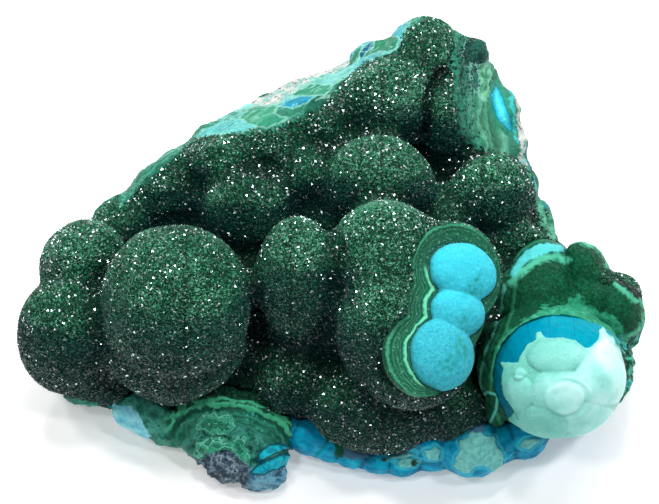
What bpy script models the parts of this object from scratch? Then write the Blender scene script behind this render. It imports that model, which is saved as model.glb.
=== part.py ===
"""Chrysocolla and malachite specimen: dark druse lobes over a broken crust, one grown piece.

The specimen lies on its flat broken back, +X to its right, +Y away from the front edge and
+Z up. Its origin is the middle of the footprint. Every size below is in millimetres.
"""

import random

import bmesh
import bpy
from mathutils import Euler, Matrix, Vector

MM = 0.001

# Driving dimensions
LENGTH = 100.0  # left tip to right tip
DRAWN_LENGTH = 100.0  # the length at which the tables below are drawn
FUSE_CELL = 0.75  # cell of the remesh that grows the shapes together
LUMP_SIZE = 7.0  # spacing of the low lumps on the lobes
LUMP_HEIGHT = 0.5
WEAR_STEPS = 3  # smoothing of the joined skin
KEPT_SHARE = 0.095  # share of the fused triangles that the finished solid keeps
FOOT_SHARE = 0.9  # the foot outline against the girdle outline
LEDGES_BEHIND = -12.0  # broken ledges stand round the foot behind this y
LEDGE_SEED = 4
FLOOR_HEIGHT = 19.0  # bottom of the hollows between the lobes
FLOOR_SHARE = 0.6  # outline of that bottom against the shoulder of the crust

SCALE = MM * LENGTH / DRAWN_LENGTH

# Druse lobes: centre x, y, z, then half sizes along x, y and z
DRUSE_LOBES = {
    "big_left": (-23.9, -15.2, 29.0, 12.0, 12.6, 14.5),
    "big_left_skirt": (-24.4, -17.5, 21.0, 12.0, 10.6, 12.0),
    "far_left_back": (-38.4, -4.8, 18.5, 7.6, 7.4, 13.0),
    "far_left_front": (-40.2, -15.0, 17.0, 9.4, 8.8, 13.0),
    "left_toe": (-35.8, -19.0, 11.0, 7.4, 5.0, 8.0),
    "left_shoulder": (-33.0, 4.0, 15.5, 5.2, 5.0, 7.5),
    "back_edge_1": (-26.6, 9.0, 18.5, 5.0, 4.8, 7.5),
    "back_edge_2": (-16.5, 12.6, 22.0, 7.2, 6.4, 8.2),
    "back_edge_3": (-8.0, 14.8, 23.5, 6.5, 6.6, 8.2),
    "back_edge_4": (-1.2, 18.0, 25.0, 6.5, 7.0, 8.2),
    "edge_fill_1": (-21.0, 11.0, 17.5, 8.0, 7.0, 7.5),
    "edge_fill_2": (-10.0, 15.0, 20.0, 9.0, 8.0, 8.0),
    "edge_fill_3": (1.0, 20.5, 22.0, 9.0, 8.0, 8.0),
    "back_hollow_1": (-12.6, 4.5, 21.5, 8.0, 5.6, 8.5),
    "back_hollow_2": (-3.8, 9.4, 22.5, 6.0, 5.6, 8.0),
    "ridge_middle": (8.8, 21.8, 26.0, 10.0, 8.2, 9.5),
    "ridge_top": (15.2, 28.8, 25.2, 6.6, 7.6, 8.8),
    "ridge_right": (22.0, 29.0, 24.0, 4.6, 4.8, 7.5),
    "ridge_flank": (18.2, 20.0, 24.0, 5.4, 6.5, 8.2),
    "ridge_face": (23.5, 23.5, 18.5, 7.4, 10.0, 9.5),
    "middle_back": (7.6, 6.6, 26.0, 9.4, 7.6, 11.5),
    "middle_left": (-5.0, -10.0, 27.0, 6.8, 9.2, 14.5),
    "middle_top": (8.8, -7.0, 29.0, 9.6, 8.0, 13.5),
    "middle_front": (9.0, -17.4, 27.0, 8.4, 11.2, 14.5),
    "middle_bridge": (9.0, -12.0, 28.5, 8.7, 8.5, 14.2),
    "middle_root": (1.5, -10.0, 17.5, 16.0, 10.0, 11.0),
    "back_root": (9.0, 4.0, 17.5, 16.0, 8.5, 10.0),
    "left_root": (-32.5, -11.0, 13.5, 10.0, 10.0, 9.0),
    "under_middle": (8.0, -25.6, 13.5, 11.6, 7.4, 9.5),
    "under_right": (18.0, -24.0, 12.5, 7.2, 7.2, 8.5),
    "under_left": (-5.5, -20.0, 12.0, 7.0, 7.0, 7.5),
    "right_back": (25.7, 8.0, 20.0, 7.4, 6.2, 9.5),
    "right_hollow": (29.8, 1.0, 14.5, 5.4, 4.0, 7.0),
    "right_tip": (45.8, -5.8, 10.5, 4.4, 4.2, 6.5),
}

# Outline of the broken crust: x, y and height of its widest line, then how far in and how
# far up its shoulder lies, where the druse begins
CRUST_EDGE = (
    (-45.0, -16.0, 9.0, 2.0, 3.0),
    (-44.5, -6.0, 9.0, 2.0, 3.0),
    (-40.5, 2.0, 9.0, 2.0, 4.0),
    (-35.5, 7.5, 11.0, 3.0, 4.0),
    (-30.5, 13.0, 12.0, 4.0, 5.0),
    (-26.0, 18.0, 13.0, 5.5, 6.0),
    (-22.5, 22.0, 13.0, 7.0, 7.5),
    (-18.5, 25.5, 13.0, 8.0, 9.0),
    (-11.5, 28.6, 14.0, 8.5, 10.0),
    (-5.6, 31.6, 15.0, 8.5, 10.5),
    (0.8, 32.8, 16.0, 8.0, 9.5),
    (5.8, 35.6, 17.0, 7.0, 8.5),
    (11.0, 37.6, 19.0, 5.0, 7.5),
    (16.5, 38.0, 20.0, 3.5, 6.0),
    (22.0, 35.5, 19.0, 2.5, 6.0),
    (25.5, 33.5, 16.0, 4.0, 7.0),
    (29.0, 29.0, 12.0, 5.0, 9.0),
    (31.5, 22.5, 9.0, 5.0, 9.0),
    (31.5, 15.5, 12.0, 3.0, 5.0),
    (34.0, 9.5, 12.0, 2.0, 4.0),
    (37.5, 3.5, 11.0, 2.0, 4.0),
    (41.5, 0.5, 11.0, 2.0, 3.0),
    (46.0, -3.5, 9.0, 2.0, 3.0),
    (49.0, -9.0, 10.0, 2.0, 3.0),
    (47.0, -14.5, 8.0, 2.0, 3.0),
    (43.5, -20.0, 7.0, 2.0, 3.0),
    (39.0, -25.5, 6.0, 2.0, 3.0),
    (29.5, -29.0, 5.0, 2.0, 4.0),
    (20.0, -31.5, 4.0, 2.0, 4.0),
    (9.0, -31.0, 4.0, 2.0, 4.0),
    (0.0, -29.0, 5.0, 2.0, 5.0),
    (-5.5, -28.5, 6.0, 2.0, 5.0),
    (-12.0, -31.0, 5.0, 3.0, 6.0),
    (-19.0, -30.0, 5.0, 3.0, 6.0),
    (-28.0, -25.5, 6.0, 2.0, 4.0),
    (-38.0, -22.0, 7.0, 2.0, 3.0),
)

# Broken faces cut through the druse: a point on the face, the way it faces, then its half
# length along the edge and its depth
BROKEN_FACES = {
    "back_left": ((-10.6, 18.2, 28.2), (-0.41, 0.70, 0.59), 20.5),
    "back_right": ((20.8, 24.2, 29.0), (0.87, 0.03, 0.49), 10.2),
}
CUTTER_REACH = 30.0

# The window broken into the middle lobes: the way it faces, a point on its face, then the
# centres (across, up the face) and radii of the rounds that make its scalloped outline
WINDOW = {
    "faces": (0.46, -0.25, 0.85),
    "at": (17.6, -17.6, 35.4),
    "rounds": ((2.4, 5.3, 8.0), (1.2, -1.2, 6.8), (-0.8, -8.1, 7.6)),
}
WINDOW_CLEARANCE = 14.0
BROKEN_LOBE_SINK = 5.0  # centres of the broken lobes below the window's face
BROKEN_LOBE_REACH = 12.0  # their half size square to the face
BROKEN_LOBE_WIDER = 1.1  # their half size along the face against the round they show

# Turquoise lobes bared in the window: centre (across, up the face), radii, proud height
TURQUOISE_LOBES = {
    "upper": (2.7, 5.3, 5.8, 4.5, 2.6),
    "middle": (3.0, -1.1, 4.6, 3.7, 2.4),
    "lower": (1.1, -8.3, 5.4, 5.5, 2.8),
}

# The pale ball and the malachite collar it sits in: centre x, y, z, then half sizes
PALE_BALL = (35.5, -23.9, 22.0, 10.5, 9.8, 9.6)
COLLAR = {
    "behind_left": (33.2, -9.0, 16.0, 7.6, 7.0, 8.5),
    "behind_right": (40.6, -6.2, 15.0, 4.6, 6.0, 8.5),
    "right": (45.0, -10.2, 13.5, 4.8, 5.4, 7.5),
    "right_rim": (44.0, -17.0, 11.0, 3.6, 6.0, 5.5),
    "left_rim": (26.2, -20.5, 14.5, 3.2, 8.4, 8.0),
}

# Blue crust along the front foot and under the ball: centre x, y, z, then half sizes
BLUE_CRUST = {
    "ball_seat": (36.5, -21.0, 10.0, 9.0, 8.0, 7.5),
    "large": (22.5, -29.6, 7.0, 5.8, 5.0, 6.0),
    "beside_large": (15.4, -28.4, 7.0, 4.4, 4.0, 5.0),
    "under_ball": (30.6, -27.6, 7.0, 4.2, 4.0, 5.0),
    "low_middle": (11.6, -31.0, 4.0, 3.6, 3.0, 3.4),
    "low_left": (4.0, -29.4, 4.4, 4.0, 2.8, 3.4),
    "far_left": (-3.0, -27.6, 6.0, 3.8, 3.0, 3.8),
}

# Banded ledge and the grey rock at the front left
FRONT_LEDGES = {
    "arched_bands": (-15.2, -25.0, 7.0, 9.6, 5.0, 7.0),
    "sky_blue_patch": (-30.8, -23.2, 6.0, 4.0, 3.2, 4.0),
    "green_foot": (-24.0, -25.6, 5.0, 5.6, 3.4, 4.0),
    "thin_shelf": (-37.4, -21.2, 8.4, 5.0, 2.2, 2.2),
    "grey_rock": (-15.8, -30.8, 4.6, 4.2, 3.6, 4.6),
    "grey_rock_tail": (-11.0, -32.6, 3.0, 4.0, 2.6, 3.4),
    "rock_lumps": (-9.6, -29.6, 6.0, 3.4, 3.2, 3.6),
}


def mm(*values):
    """A point or size in the drawing's millimetres as a vector in metres."""
    return Vector(values) * SCALE


def new_object(name, mesh, collection):
    shape = bpy.data.objects.new(name, mesh)
    collection.objects.link(shape)
    return shape


def as_helper(shape):
    shape.hide_render = True
    shape.display_type = "WIRE"
    return shape


def clear_scene():
    for item in list(bpy.data.objects):
        bpy.data.objects.remove(item)


def new_collection(name):
    collection = bpy.data.collections.new(name)
    bpy.context.scene.collection.children.link(collection)
    return collection


def add_ellipsoid(builder, centre, half_sizes, detail=4):
    """Adds an icosphere, stretched to its three half sizes, to a bmesh."""
    made = bmesh.ops.create_icosphere(builder, subdivisions=detail, radius=1.0)
    for corner in made["verts"]:
        corner.co = Vector(
            [place + unit * half for place, unit, half in zip(centre, corner.co, half_sizes)]
        )
    return made["verts"]


def add_lobes(builder, table, detail=4):
    for x, y, z, half_x, half_y, half_z in table.values():
        add_ellipsoid(builder, mm(x, y, z), mm(half_x, half_y, half_z), detail)


def add_crust(builder):
    """The broken plate that the lobes grow on: foot, widest line, shoulder and sunk floor."""
    count = len(CRUST_EDGE)
    centre = sum((Vector(point[:2]) for point in CRUST_EDGE), Vector((0, 0))) / count
    rings = [[], [], [], []]
    for x, y, height, shoulder_in, shoulder_up in CRUST_EDGE:
        edge = Vector((x, y))
        inward = (centre - edge).normalized()
        foot = centre + (edge - centre) * FOOT_SHARE
        shoulder = edge + inward * shoulder_in
        rings[0].append(builder.verts.new(mm(*foot, -1.0)))
        rings[1].append(builder.verts.new(mm(*edge, height)))
        rings[2].append(builder.verts.new(mm(*shoulder, height + shoulder_up)))
        rings[3].append(builder.verts.new(mm(*centre.lerp(shoulder, FLOOR_SHARE), FLOOR_HEIGHT)))
    builder.faces.new(reversed(rings[0]))
    builder.faces.new(rings[3])
    for i in range(count):
        after = (i + 1) % count
        for low, high in zip(rings, rings[1:]):
            builder.faces.new((low[i], low[after], high[after], high[i]))


def add_ledges(builder):
    """Tilted blocks around the back and sides of the foot, which break it into ledges."""
    count = len(CRUST_EDGE)
    centre = sum((Vector(point[:2]) for point in CRUST_EDGE), Vector((0, 0))) / count
    chance = random.Random(LEDGE_SEED)
    for x, y, height, *_ in CRUST_EDGE:
        if y < LEDGES_BEHIND:
            continue
        spot = centre + (Vector((x, y)) - centre) * chance.uniform(0.83, 0.89)
        middle = Vector((*spot, height * chance.uniform(0.3, 0.7)))
        turn = Euler((chance.uniform(-0.4, 0.4), chance.uniform(-0.4, 0.4), chance.uniform(0, 3)))
        size = Vector((chance.uniform(5, 9), chance.uniform(4, 7), chance.uniform(3, 6)))
        made = bmesh.ops.create_cube(builder, size=1.0)
        for corner in made["verts"]:
            place = corner.co * size
            place.rotate(turn)
            corner.co = mm(*(place + middle))


def face_axes(facing):
    """Unit vectors across and up a sloping face, and out of it."""
    out = Vector(facing).normalized()
    across = Vector((0, 1, 0)).cross(out).normalized()
    return across, out.cross(across), out


def add_box_on_face(builder, point, facing, half_length):
    """A box that stands on a sloping face and takes off what lies outside it."""
    out = Vector(facing).normalized()
    level = Vector((-out.y, out.x, 0)).normalized()
    slope = out.cross(level)
    made = bmesh.ops.create_cube(builder, size=2.0)
    for corner in made["verts"]:
        place = Vector(point) + level * corner.co.x * half_length
        place += slope * corner.co.y * CUTTER_REACH
        place += out * (corner.co.z + 1) * CUTTER_REACH / 2
        corner.co = mm(*place)


def add_window_rounds(builder):
    """Cylinders square to the window's face, that take off what stands above it."""
    across, up, out = face_axes(WINDOW["faces"])
    for x, y, radius in WINDOW["rounds"]:
        made = bmesh.ops.create_cone(
            builder, cap_ends=True, segments=40,
            radius1=radius, radius2=radius, depth=WINDOW_CLEARANCE,
        )
        middle = Vector(WINDOW["at"]) + across * x + up * y + out * WINDOW_CLEARANCE / 2
        for corner in made["verts"]:
            place = middle + across * corner.co.x + up * corner.co.y + out * corner.co.z
            corner.co = mm(*place)


def add_lobe_on_window(builder, centre, half_sizes):
    """An ellipsoid whose axes lie across, up and out of the window's face."""
    axes = face_axes(WINDOW["faces"])
    made = bmesh.ops.create_icosphere(builder, subdivisions=4, radius=1.0)
    for corner in made["verts"]:
        place = Vector(WINDOW["at"])
        for axis, middle, unit, half in zip(axes, centre, corner.co, half_sizes):
            place += axis * (middle + unit * half)
        corner.co = mm(*place)


def add_broken_lobes(builder):
    """The lobes that the window breaks open, whole; the cut leaves their stumps."""
    for x, y, radius in WINDOW["rounds"]:
        half = radius * BROKEN_LOBE_WIDER
        centre = (x, y, -BROKEN_LOBE_SINK)
        add_lobe_on_window(builder, centre, (half, half, BROKEN_LOBE_REACH))


def add_turquoise_lobes(builder):
    """Low rounds that stand proud of the window's floor."""
    for x, y, half_x, half_y, proud in TURQUOISE_LOBES.values():
        add_lobe_on_window(builder, (x, y, 0.0), (half_x, half_y, proud))


def fused(name, builder, helpers):
    """The shapes of a bmesh grown together into one closed skin."""
    mesh = bpy.data.meshes.new(name)
    bmesh.ops.recalc_face_normals(builder, faces=builder.faces)
    builder.to_mesh(mesh)
    builder.free()
    shape = new_object(name, mesh, helpers)
    remesh = shape.modifiers.new("grow_together", "REMESH")
    remesh.mode = "VOXEL"
    remesh.voxel_size = FUSE_CELL * SCALE
    return as_helper(shape)


def soften(shape):
    """One even skin over the joined shapes, its creases and edges slightly worn."""
    even = shape.modifiers.new("even_skin", "REMESH")
    even.mode = "VOXEL"
    even.voxel_size = FUSE_CELL * SCALE
    worn = shape.modifiers.new("worn_edges", "SMOOTH")
    worn.factor = 0.5
    worn.iterations = WEAR_STEPS


def boolean(shape, other, operation):
    cut = shape.modifiers.new(other.name, "BOOLEAN")
    cut.operation = operation
    cut.object = other
    cut.solver = "EXACT"


def add_lumps(shape):
    """Low soft lumps all over a fused skin."""
    lumps = bpy.data.textures.new("lumps", "CLOUDS")
    lumps.noise_scale = LUMP_SIZE * SCALE
    displace = shape.modifiers.new("lumps", "DISPLACE")
    displace.texture = lumps
    displace.texture_coords = "GLOBAL"
    displace.strength = 2 * LUMP_HEIGHT * SCALE
    displace.mid_level = 0.5


def grown_body(helpers):
    """Lobes and crust grown together, lumpy all over."""
    builder = bmesh.new()
    add_lobes(builder, DRUSE_LOBES)
    add_broken_lobes(builder)
    add_crust(builder)
    add_ledges(builder)
    body = fused("grown_body", builder, helpers)
    add_lumps(body)
    return body


def break_cutter(helpers):
    """Everything that the broken faces and the window take off."""
    builder = bmesh.new()
    for point, facing, half_length in BROKEN_FACES.values():
        add_box_on_face(builder, point, facing, half_length)
    add_window_rounds(builder)
    return fused("break_cutter", builder, helpers)


def bared_parts(helpers):
    """What grew on or was laid bare: turquoise lobes, pale ball, collar, crust and ledges."""
    builder = bmesh.new()
    add_turquoise_lobes(builder)
    add_ellipsoid(builder, mm(*PALE_BALL[:3]), mm(*PALE_BALL[3:]))
    for table in (COLLAR, BLUE_CRUST, FRONT_LEDGES):
        add_lobes(builder, table)
    return fused("bared_parts", builder, helpers)


def table_cutter(helpers):
    """A block below the resting plane, so that the back is cut flat."""
    builder = bmesh.new()
    made = bmesh.ops.create_cube(builder, size=2 * LENGTH * MM)
    bmesh.ops.translate(builder, verts=made["verts"], vec=(0, 0, -LENGTH * MM))
    mesh = bpy.data.meshes.new("table_cutter")
    builder.to_mesh(mesh)
    builder.free()
    return as_helper(new_object("table_cutter", mesh, helpers))


def finished_mesh(shape):
    """A plain mesh of a shape with all its modifiers carried out."""
    graph = bpy.context.evaluated_depsgraph_get()
    return bpy.data.meshes.new_from_object(shape.evaluated_get(graph))


def centre_on_footprint(mesh):
    """Moves a mesh so that the middle of its footprint is the origin, resting on z = 0."""
    places = [corner.co for corner in mesh.vertices]
    low = Vector([min(place[axis] for place in places) for axis in range(3)])
    high = Vector([max(place[axis] for place in places) for axis in range(3)])
    middle = (low + high) / 2
    mesh.transform(Matrix.Translation((-middle.x, -middle.y, -low.z)))
    print("Footprint middle of the drawing, mm:", [round(v / SCALE, 2) for v in middle])


def specimen(parts, helpers):
    """The whole specimen as one solid, thinned to few faces and cut flat underneath."""
    body = grown_body(helpers)
    boolean(body, break_cutter(helpers), "DIFFERENCE")
    boolean(body, bared_parts(helpers), "UNION")
    soften(body)
    thin = body.modifiers.new("few_faces", "DECIMATE")
    thin.ratio = KEPT_SHARE
    boolean(body, table_cutter(helpers), "DIFFERENCE")
    mesh = finished_mesh(body)
    centre_on_footprint(mesh)
    return new_object("specimen", mesh, parts)


def malachite():
    material = bpy.data.materials.new("malachite")
    material.use_nodes = True
    shader = material.node_tree.nodes["Principled BSDF"]
    shader.inputs["Base Color"].default_value = (0.012, 0.085, 0.045, 1)
    shader.inputs["Roughness"].default_value = 0.35
    return material


def main():
    clear_scene()
    parts = new_collection("chrysocolla_specimen")
    helpers = new_collection("helpers")
    whole = specimen(parts, helpers)
    whole.data.materials.clear()
    whole.data.materials.append(malachite())


main()
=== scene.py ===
# %% [markdown]
# # A chrysocolla and malachite specimen
# The specimen is one natural lump. Dark, glittering lobes of malachite druse grow over a
# broken crust, and where it is broken it shows green bands, turquoise chrysocolla and rock.
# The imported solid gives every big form; this lesson gives it its skins, grains and colours.

# %% Load the frame
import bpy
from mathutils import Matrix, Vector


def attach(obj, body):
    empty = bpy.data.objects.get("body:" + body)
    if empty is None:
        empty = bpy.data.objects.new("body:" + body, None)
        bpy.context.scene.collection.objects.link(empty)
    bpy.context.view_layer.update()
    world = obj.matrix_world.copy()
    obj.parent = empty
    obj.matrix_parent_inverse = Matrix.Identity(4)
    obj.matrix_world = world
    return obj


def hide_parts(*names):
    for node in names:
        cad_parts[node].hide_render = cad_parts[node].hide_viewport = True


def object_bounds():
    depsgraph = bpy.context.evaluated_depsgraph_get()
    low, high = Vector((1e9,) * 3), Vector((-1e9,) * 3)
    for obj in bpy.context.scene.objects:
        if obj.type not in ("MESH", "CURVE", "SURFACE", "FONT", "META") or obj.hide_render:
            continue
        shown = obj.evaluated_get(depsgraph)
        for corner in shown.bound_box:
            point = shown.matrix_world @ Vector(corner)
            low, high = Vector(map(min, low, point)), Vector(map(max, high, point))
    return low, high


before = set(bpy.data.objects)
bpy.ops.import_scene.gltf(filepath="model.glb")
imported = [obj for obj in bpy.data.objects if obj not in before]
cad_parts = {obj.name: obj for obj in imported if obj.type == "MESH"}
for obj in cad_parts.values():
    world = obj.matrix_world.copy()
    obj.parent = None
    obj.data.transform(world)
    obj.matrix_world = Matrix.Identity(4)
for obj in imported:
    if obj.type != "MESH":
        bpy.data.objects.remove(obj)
cad_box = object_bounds()
print("CAD box, m:", cad_box)

# %% [markdown]
# ## Sizes and small helpers
# The forms were drawn in millimetres, and the frame is in metres from the middle of the
# footprint. One helper turns the first into the second, so that every size below can be
# read as a plain millimetre. The others read and write a mesh's points all at once, which is
# much faster than one at a time and lets a shape follow a formula.

# %% Helpers for points
import math

import bpy
import numpy as np
from mathutils import Vector, noise
from mathutils.kdtree import KDTree

MM = 0.001
DRAWN_MIDDLE = np.array([0.35, 1.32, 0.0])  # middle of the footprint in the drawing
BOX_MARGIN = 0.02  # mm that every point stays inside the solid's box


def place(points):
    """Drawn millimetres to metres in the frame."""
    return (np.asarray(points, float) - DRAWN_MIDDLE) * MM


def read(piece, what):
    """Three numbers for each point of a mesh."""
    flat = np.empty(len(piece.data.vertices) * 3)
    piece.data.vertices.foreach_get(what, flat)
    return flat.reshape(-1, 3)


def points_of(piece):
    """A mesh's points in drawn millimetres."""
    return read(piece, "co") / MM + DRAWN_MIDDLE


def move_points(piece, points):
    piece.data.vertices.foreach_set("co", place(points).ravel())
    piece.data.update()


def settle(piece, points, lowest=0.0):
    """Moves a piece's points, kept inside the solid's box and off the floor."""
    points[:, 2] = np.maximum(points[:, 2], lowest)
    low, high = (np.array(corner) / MM + DRAWN_MIDDLE for corner in cad_box)
    points = np.clip(points, low + BOX_MARGIN, high - BOX_MARGIN)
    move_points(piece, points)
    return points


def mark(piece, **numbers):
    """Stores numbers per point, which the material reads by name."""
    for name, values in numbers.items():
        layer = piece.data.attributes.new(name, "FLOAT", "POINT")
        layer.data.foreach_set("value", np.asarray(values, np.float32))


def rough(points, size, depth=3, seed=0.0):
    """Soft noise of about -1 to 1 whose lumps are size millimetres apart."""
    shift = Vector((seed, 2 * seed, 3 * seed))
    return np.array([noise.fractal(Vector(p) / size + shift, 1.0, 2.0, depth) for p in points])


def shaken(places, points, size, amount, seeds):
    """Places pushed about by noise, with one seed for each direction."""
    return places + np.stack([amount * rough(points, size, 3, seed) for seed in seeds], axis=1)


def level(points, x, y, z, half_x, half_y, half_z):
    """1 on the surface of a lobe, less inside it and more outside."""
    away = (points - (x, y, z)) / (half_x, half_y, half_z)
    return np.sqrt((away ** 2).sum(axis=1))


def outside(points, lobes):
    """Rough distance in millimetres to the nearest of several lobes, below 0 inside."""
    gaps = [(level(points, *lobe) - 1) * min(lobe[3:]) for lobe in lobes]
    return np.min(gaps, axis=0)


def step(values, low, high):
    """0 below low, 1 above high, smooth between."""
    share = np.clip((values - low) / (high - low), 0, 1)
    return share * share * (3 - 2 * share)


def bell(values, middle, width):
    """1 at the middle, falling softly to 0 on both sides."""
    return np.exp(-(((values - middle) / width) ** 2))


def round_share(spots, x, y, half_x, half_y):
    """0 in the middle of a flat round, 1 on its edge."""
    return np.hypot((spots[:, 0] - x) / half_x, (spots[:, 1] - y) / half_y)


def rounds_gap(spots, rounds):
    """Distance to the outline of several joined circles, below 0 inside."""
    gaps = [np.hypot(spots[:, 0] - x, spots[:, 1] - y) - radius for x, y, radius in rounds]
    return np.min(gaps, axis=0)


def near_spots(spots, rounds):
    """1 in the middle of the nearest of several soft round spots, falling to 0."""
    return np.max([bell(np.hypot(spots[:, 0] - x, spots[:, 1] - y), 0, r) for x, y, r in rounds], axis=0)


# %% Helpers for objects
def only(piece):
    """Selects one object and nothing else."""
    bpy.ops.object.select_all(action="DESELECT")
    piece.select_set(True)
    bpy.context.view_layer.objects.active = piece


def choose(piece, wanted):
    """Opens a piece in edit mode with only the wanted points selected."""
    only(piece)
    bpy.ops.object.mode_set(mode="EDIT")
    bpy.ops.mesh.select_mode(type="VERT")
    bpy.ops.mesh.select_all(action="DESELECT")
    bpy.ops.object.mode_set(mode="OBJECT")
    piece.data.vertices.foreach_set("select", wanted)
    bpy.ops.object.mode_set(mode="EDIT")


def apply_all(piece):
    only(piece)
    for modifier in list(piece.modifiers):
        bpy.ops.object.modifier_apply(modifier=modifier.name)


def soften(piece, passes):
    """Smooths a piece's points, as wear does."""
    worn = piece.modifiers.new("worn", "SMOOTH")
    worn.factor, worn.iterations = 0.5, passes
    apply_all(piece)


def copy_of(piece, name):
    """A new object with its own copy of a piece's mesh."""
    copied = bpy.data.objects.new(name, piece.data.copy())
    bpy.context.scene.collection.objects.link(copied)
    return copied


def keep_place():
    """Moves the new object's place, turn and size into its mesh."""
    bpy.ops.object.transform_apply(location=True, rotation=True, scale=True)
    return bpy.context.object


def add_lobes(lobes, segments=48):
    """Balls stretched to their half sizes: x, y, z, half x, half y, half z."""
    balls = []
    for lobe in lobes:
        bpy.ops.mesh.primitive_uv_sphere_add(
            segments=segments, ring_count=segments // 2, radius=1, location=place(lobe[:3]),
            scale=[half * MM for half in lobe[3:]],
        )
        balls.append(keep_place())
    return balls


def add_even_ball(lobe, subdivisions):
    """A stretched ball whose faces are all about the same size."""
    bpy.ops.mesh.primitive_ico_sphere_add(
        subdivisions=subdivisions, radius=MM, location=place(lobe[:3]), scale=lobe[3:]
    )
    return keep_place()


def grow_together(name, pieces, cell, smoothing=0):
    """Joins pieces and remeshes them into one closed skin."""
    only(pieces[0])
    for piece in pieces:
        piece.select_set(True)
    bpy.ops.object.join()
    whole = bpy.context.object
    whole.name = whole.data.name = name
    whole.data.materials.clear()
    skin = whole.modifiers.new("skin", "REMESH")
    skin.mode = "VOXEL"
    skin.voxel_size = cell * MM
    soften(whole, smoothing)
    bpy.ops.object.shade_smooth()
    return whole


def finish_piece(piece, material):
    """Gives a piece its material and its body, and prints its triangles."""
    piece.data.materials.clear()
    piece.data.materials.append(material)
    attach(piece, "root")
    triangles = sum(len(face.vertices) - 2 for face in piece.data.polygons)
    print(piece.name, "triangles:", triangles)


# %% Helpers for materials
def colour(red, green, blue):
    """A colour as a screen shows it, 0 to 255, as the shader wants it."""
    shares = [value / 255 for value in (red, green, blue)]
    return [s / 12.92 if s <= 0.04045 else ((s + 0.055) / 1.055) ** 2.4 for s in shares] + [1]


class Finish:
    """A material whose nodes are added one line at a time, with the colour so far in tint."""

    def __init__(self, name, roughness=0.5, ior=1.5, gloss=0.5):
        self.material = bpy.data.materials.new(name)
        self.material.use_nodes = True
        self.tree = self.material.node_tree
        self.shader = self.tree.nodes["Principled BSDF"]
        self.shader.inputs["Roughness"].default_value = roughness
        self.shader.inputs["IOR"].default_value = ior
        self.shader.inputs["Specular IOR Level"].default_value = gloss
        self.where = self.add("TexCoord").outputs["Object"]
        self.tint = None

    def put(self, value, socket):
        """Links a socket to another, or sets its number or its colour."""
        if isinstance(value, bpy.types.NodeSocket):
            self.tree.links.new(value, socket)
        else:
            socket.default_value = colour(*value) if socket.type == "RGBA" else value

    def add(self, kind, inputs=None, **settings):
        node = self.tree.nodes.new("ShaderNode" + kind)
        for key, value in settings.items():
            setattr(node, key, value)
        for key, value in (inputs or {}).items():
            self.put(value, node.inputs[key])
        return node

    def noise(self, size, detail=3.0, roughness=0.55, where=None):
        """Noise whose lumps are size millimetres apart."""
        values = {"Vector": where or self.where, "Scale": 1 / (size * MM),
                  "Detail": detail, "Roughness": roughness}
        return self.add("TexNoise", values).outputs["Fac"]

    def cells(self, size):
        values = {"Vector": self.where, "Scale": 1 / (size * MM)}
        return self.add("TexVoronoi", values).outputs["Distance"]

    def marked(self, name):
        return self.add("Attribute", attribute_name=name).outputs["Fac"]

    def math(self, operation, first, second=0.0, third=0.0):
        return self.add("Math", {0: first, 1: second, 2: third}, operation=operation).outputs[0]

    def times(self, first, second):
        return self.math("MULTIPLY", first, second)

    def plus(self, first, *others):
        for other in others:
            first = self.math("ADD", first, other)
        return first

    def between(self, value, low, high, to_low=0.0, to_high=1.0):
        values = {"Value": value, "From Min": low, "From Max": high,
                  "To Min": to_low, "To Max": to_high}
        return self.add("MapRange", values).outputs["Result"]

    def mottled(self, size, low, high, detail=2):
        """Noise spread from low to high."""
        return self.between(self.noise(size, detail), 0.3, 0.7, low, high)

    def wander(self, gap, size, amount, detail=3):
        """A marked distance, or another value, whose lines wander by an amount."""
        gap = self.marked(gap) if isinstance(gap, str) else gap
        return self.plus(gap, self.mottled(size, -amount, amount, detail))

    def line(self, gap, wide, fine, strength=1.0):
        """A line that is at its strongest within fine of it and ends at wide."""
        return self.between(self.math("ABSOLUTE", gap), wide, fine, 0, strength)

    def ramp(self, share, *stops):
        """A colour ramp whose stops are a position, red, green and blue."""
        node = self.add("ValToRGB", {"Fac": share})
        marks = node.color_ramp.elements
        while len(marks) < len(stops):
            marks.new(0.5)
        for element, (position, *tint) in zip(marks, stops):
            element.position = position
            element.color = colour(*tint)
        return node.outputs["Color"]

    def mix(self, share, first, second):
        node = self.add("Mix", {0: share, 6: first, 7: second}, data_type="RGBA")
        return node.outputs[2]

    def lay(self, tint, share, strength=1.0, edge=0.1, wander=0.0, size=1.0):
        """Lays a colour over a share of the finish, or inside a marked outline."""
        if isinstance(share, str):
            gap = self.wander(share, size, wander) if wander else self.marked(share)
            share = self.between(gap, edge, -edge)
        if strength != 1:
            share = self.times(share, strength)
        self.tint = self.mix(share, self.tint, tint)

    def bump(self, height, depth):
        """Raises the surface by up to depth millimetres."""
        values = {"Height": height, "Distance": depth * MM, "Strength": 1.0}
        self.put(self.add("Bump", values).outputs["Normal"], self.shader.inputs["Normal"])

    def paint(self, roughness=None):
        self.put(self.tint, self.shader.inputs["Base Color"])
        if roughness is not None:
            self.put(roughness, self.shader.inputs["Roughness"])
        return self.material


# %% [markdown]
# ## Camera, floor and light
# The specimen is seen from the front and well above, through a long lens from nearly a
# metre away, so its far side hardly shrinks. The studio is plain: a pale floor, a broad soft
# light behind and above, which brightens the far flank of each lobe, and small bright lights
# that only the crystal faces pick up, as glitter.

# %% Camera
ELEVATION = 65.0
DISTANCE = 900.0  # mm
LOBE_HEIGHT = 18.0  # mm nearer to the camera than the floor, where sizes are set
PIXELS_PER_MM = 6.33  # in a picture 659 across
PICTURE = (659, 504)
ORIGIN_ROW = 295  # picture row on which the drawing's origin lies
AIM_UP = (ORIGIN_ROW - PICTURE[1] / 2) / PIXELS_PER_MM  # mm

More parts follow.
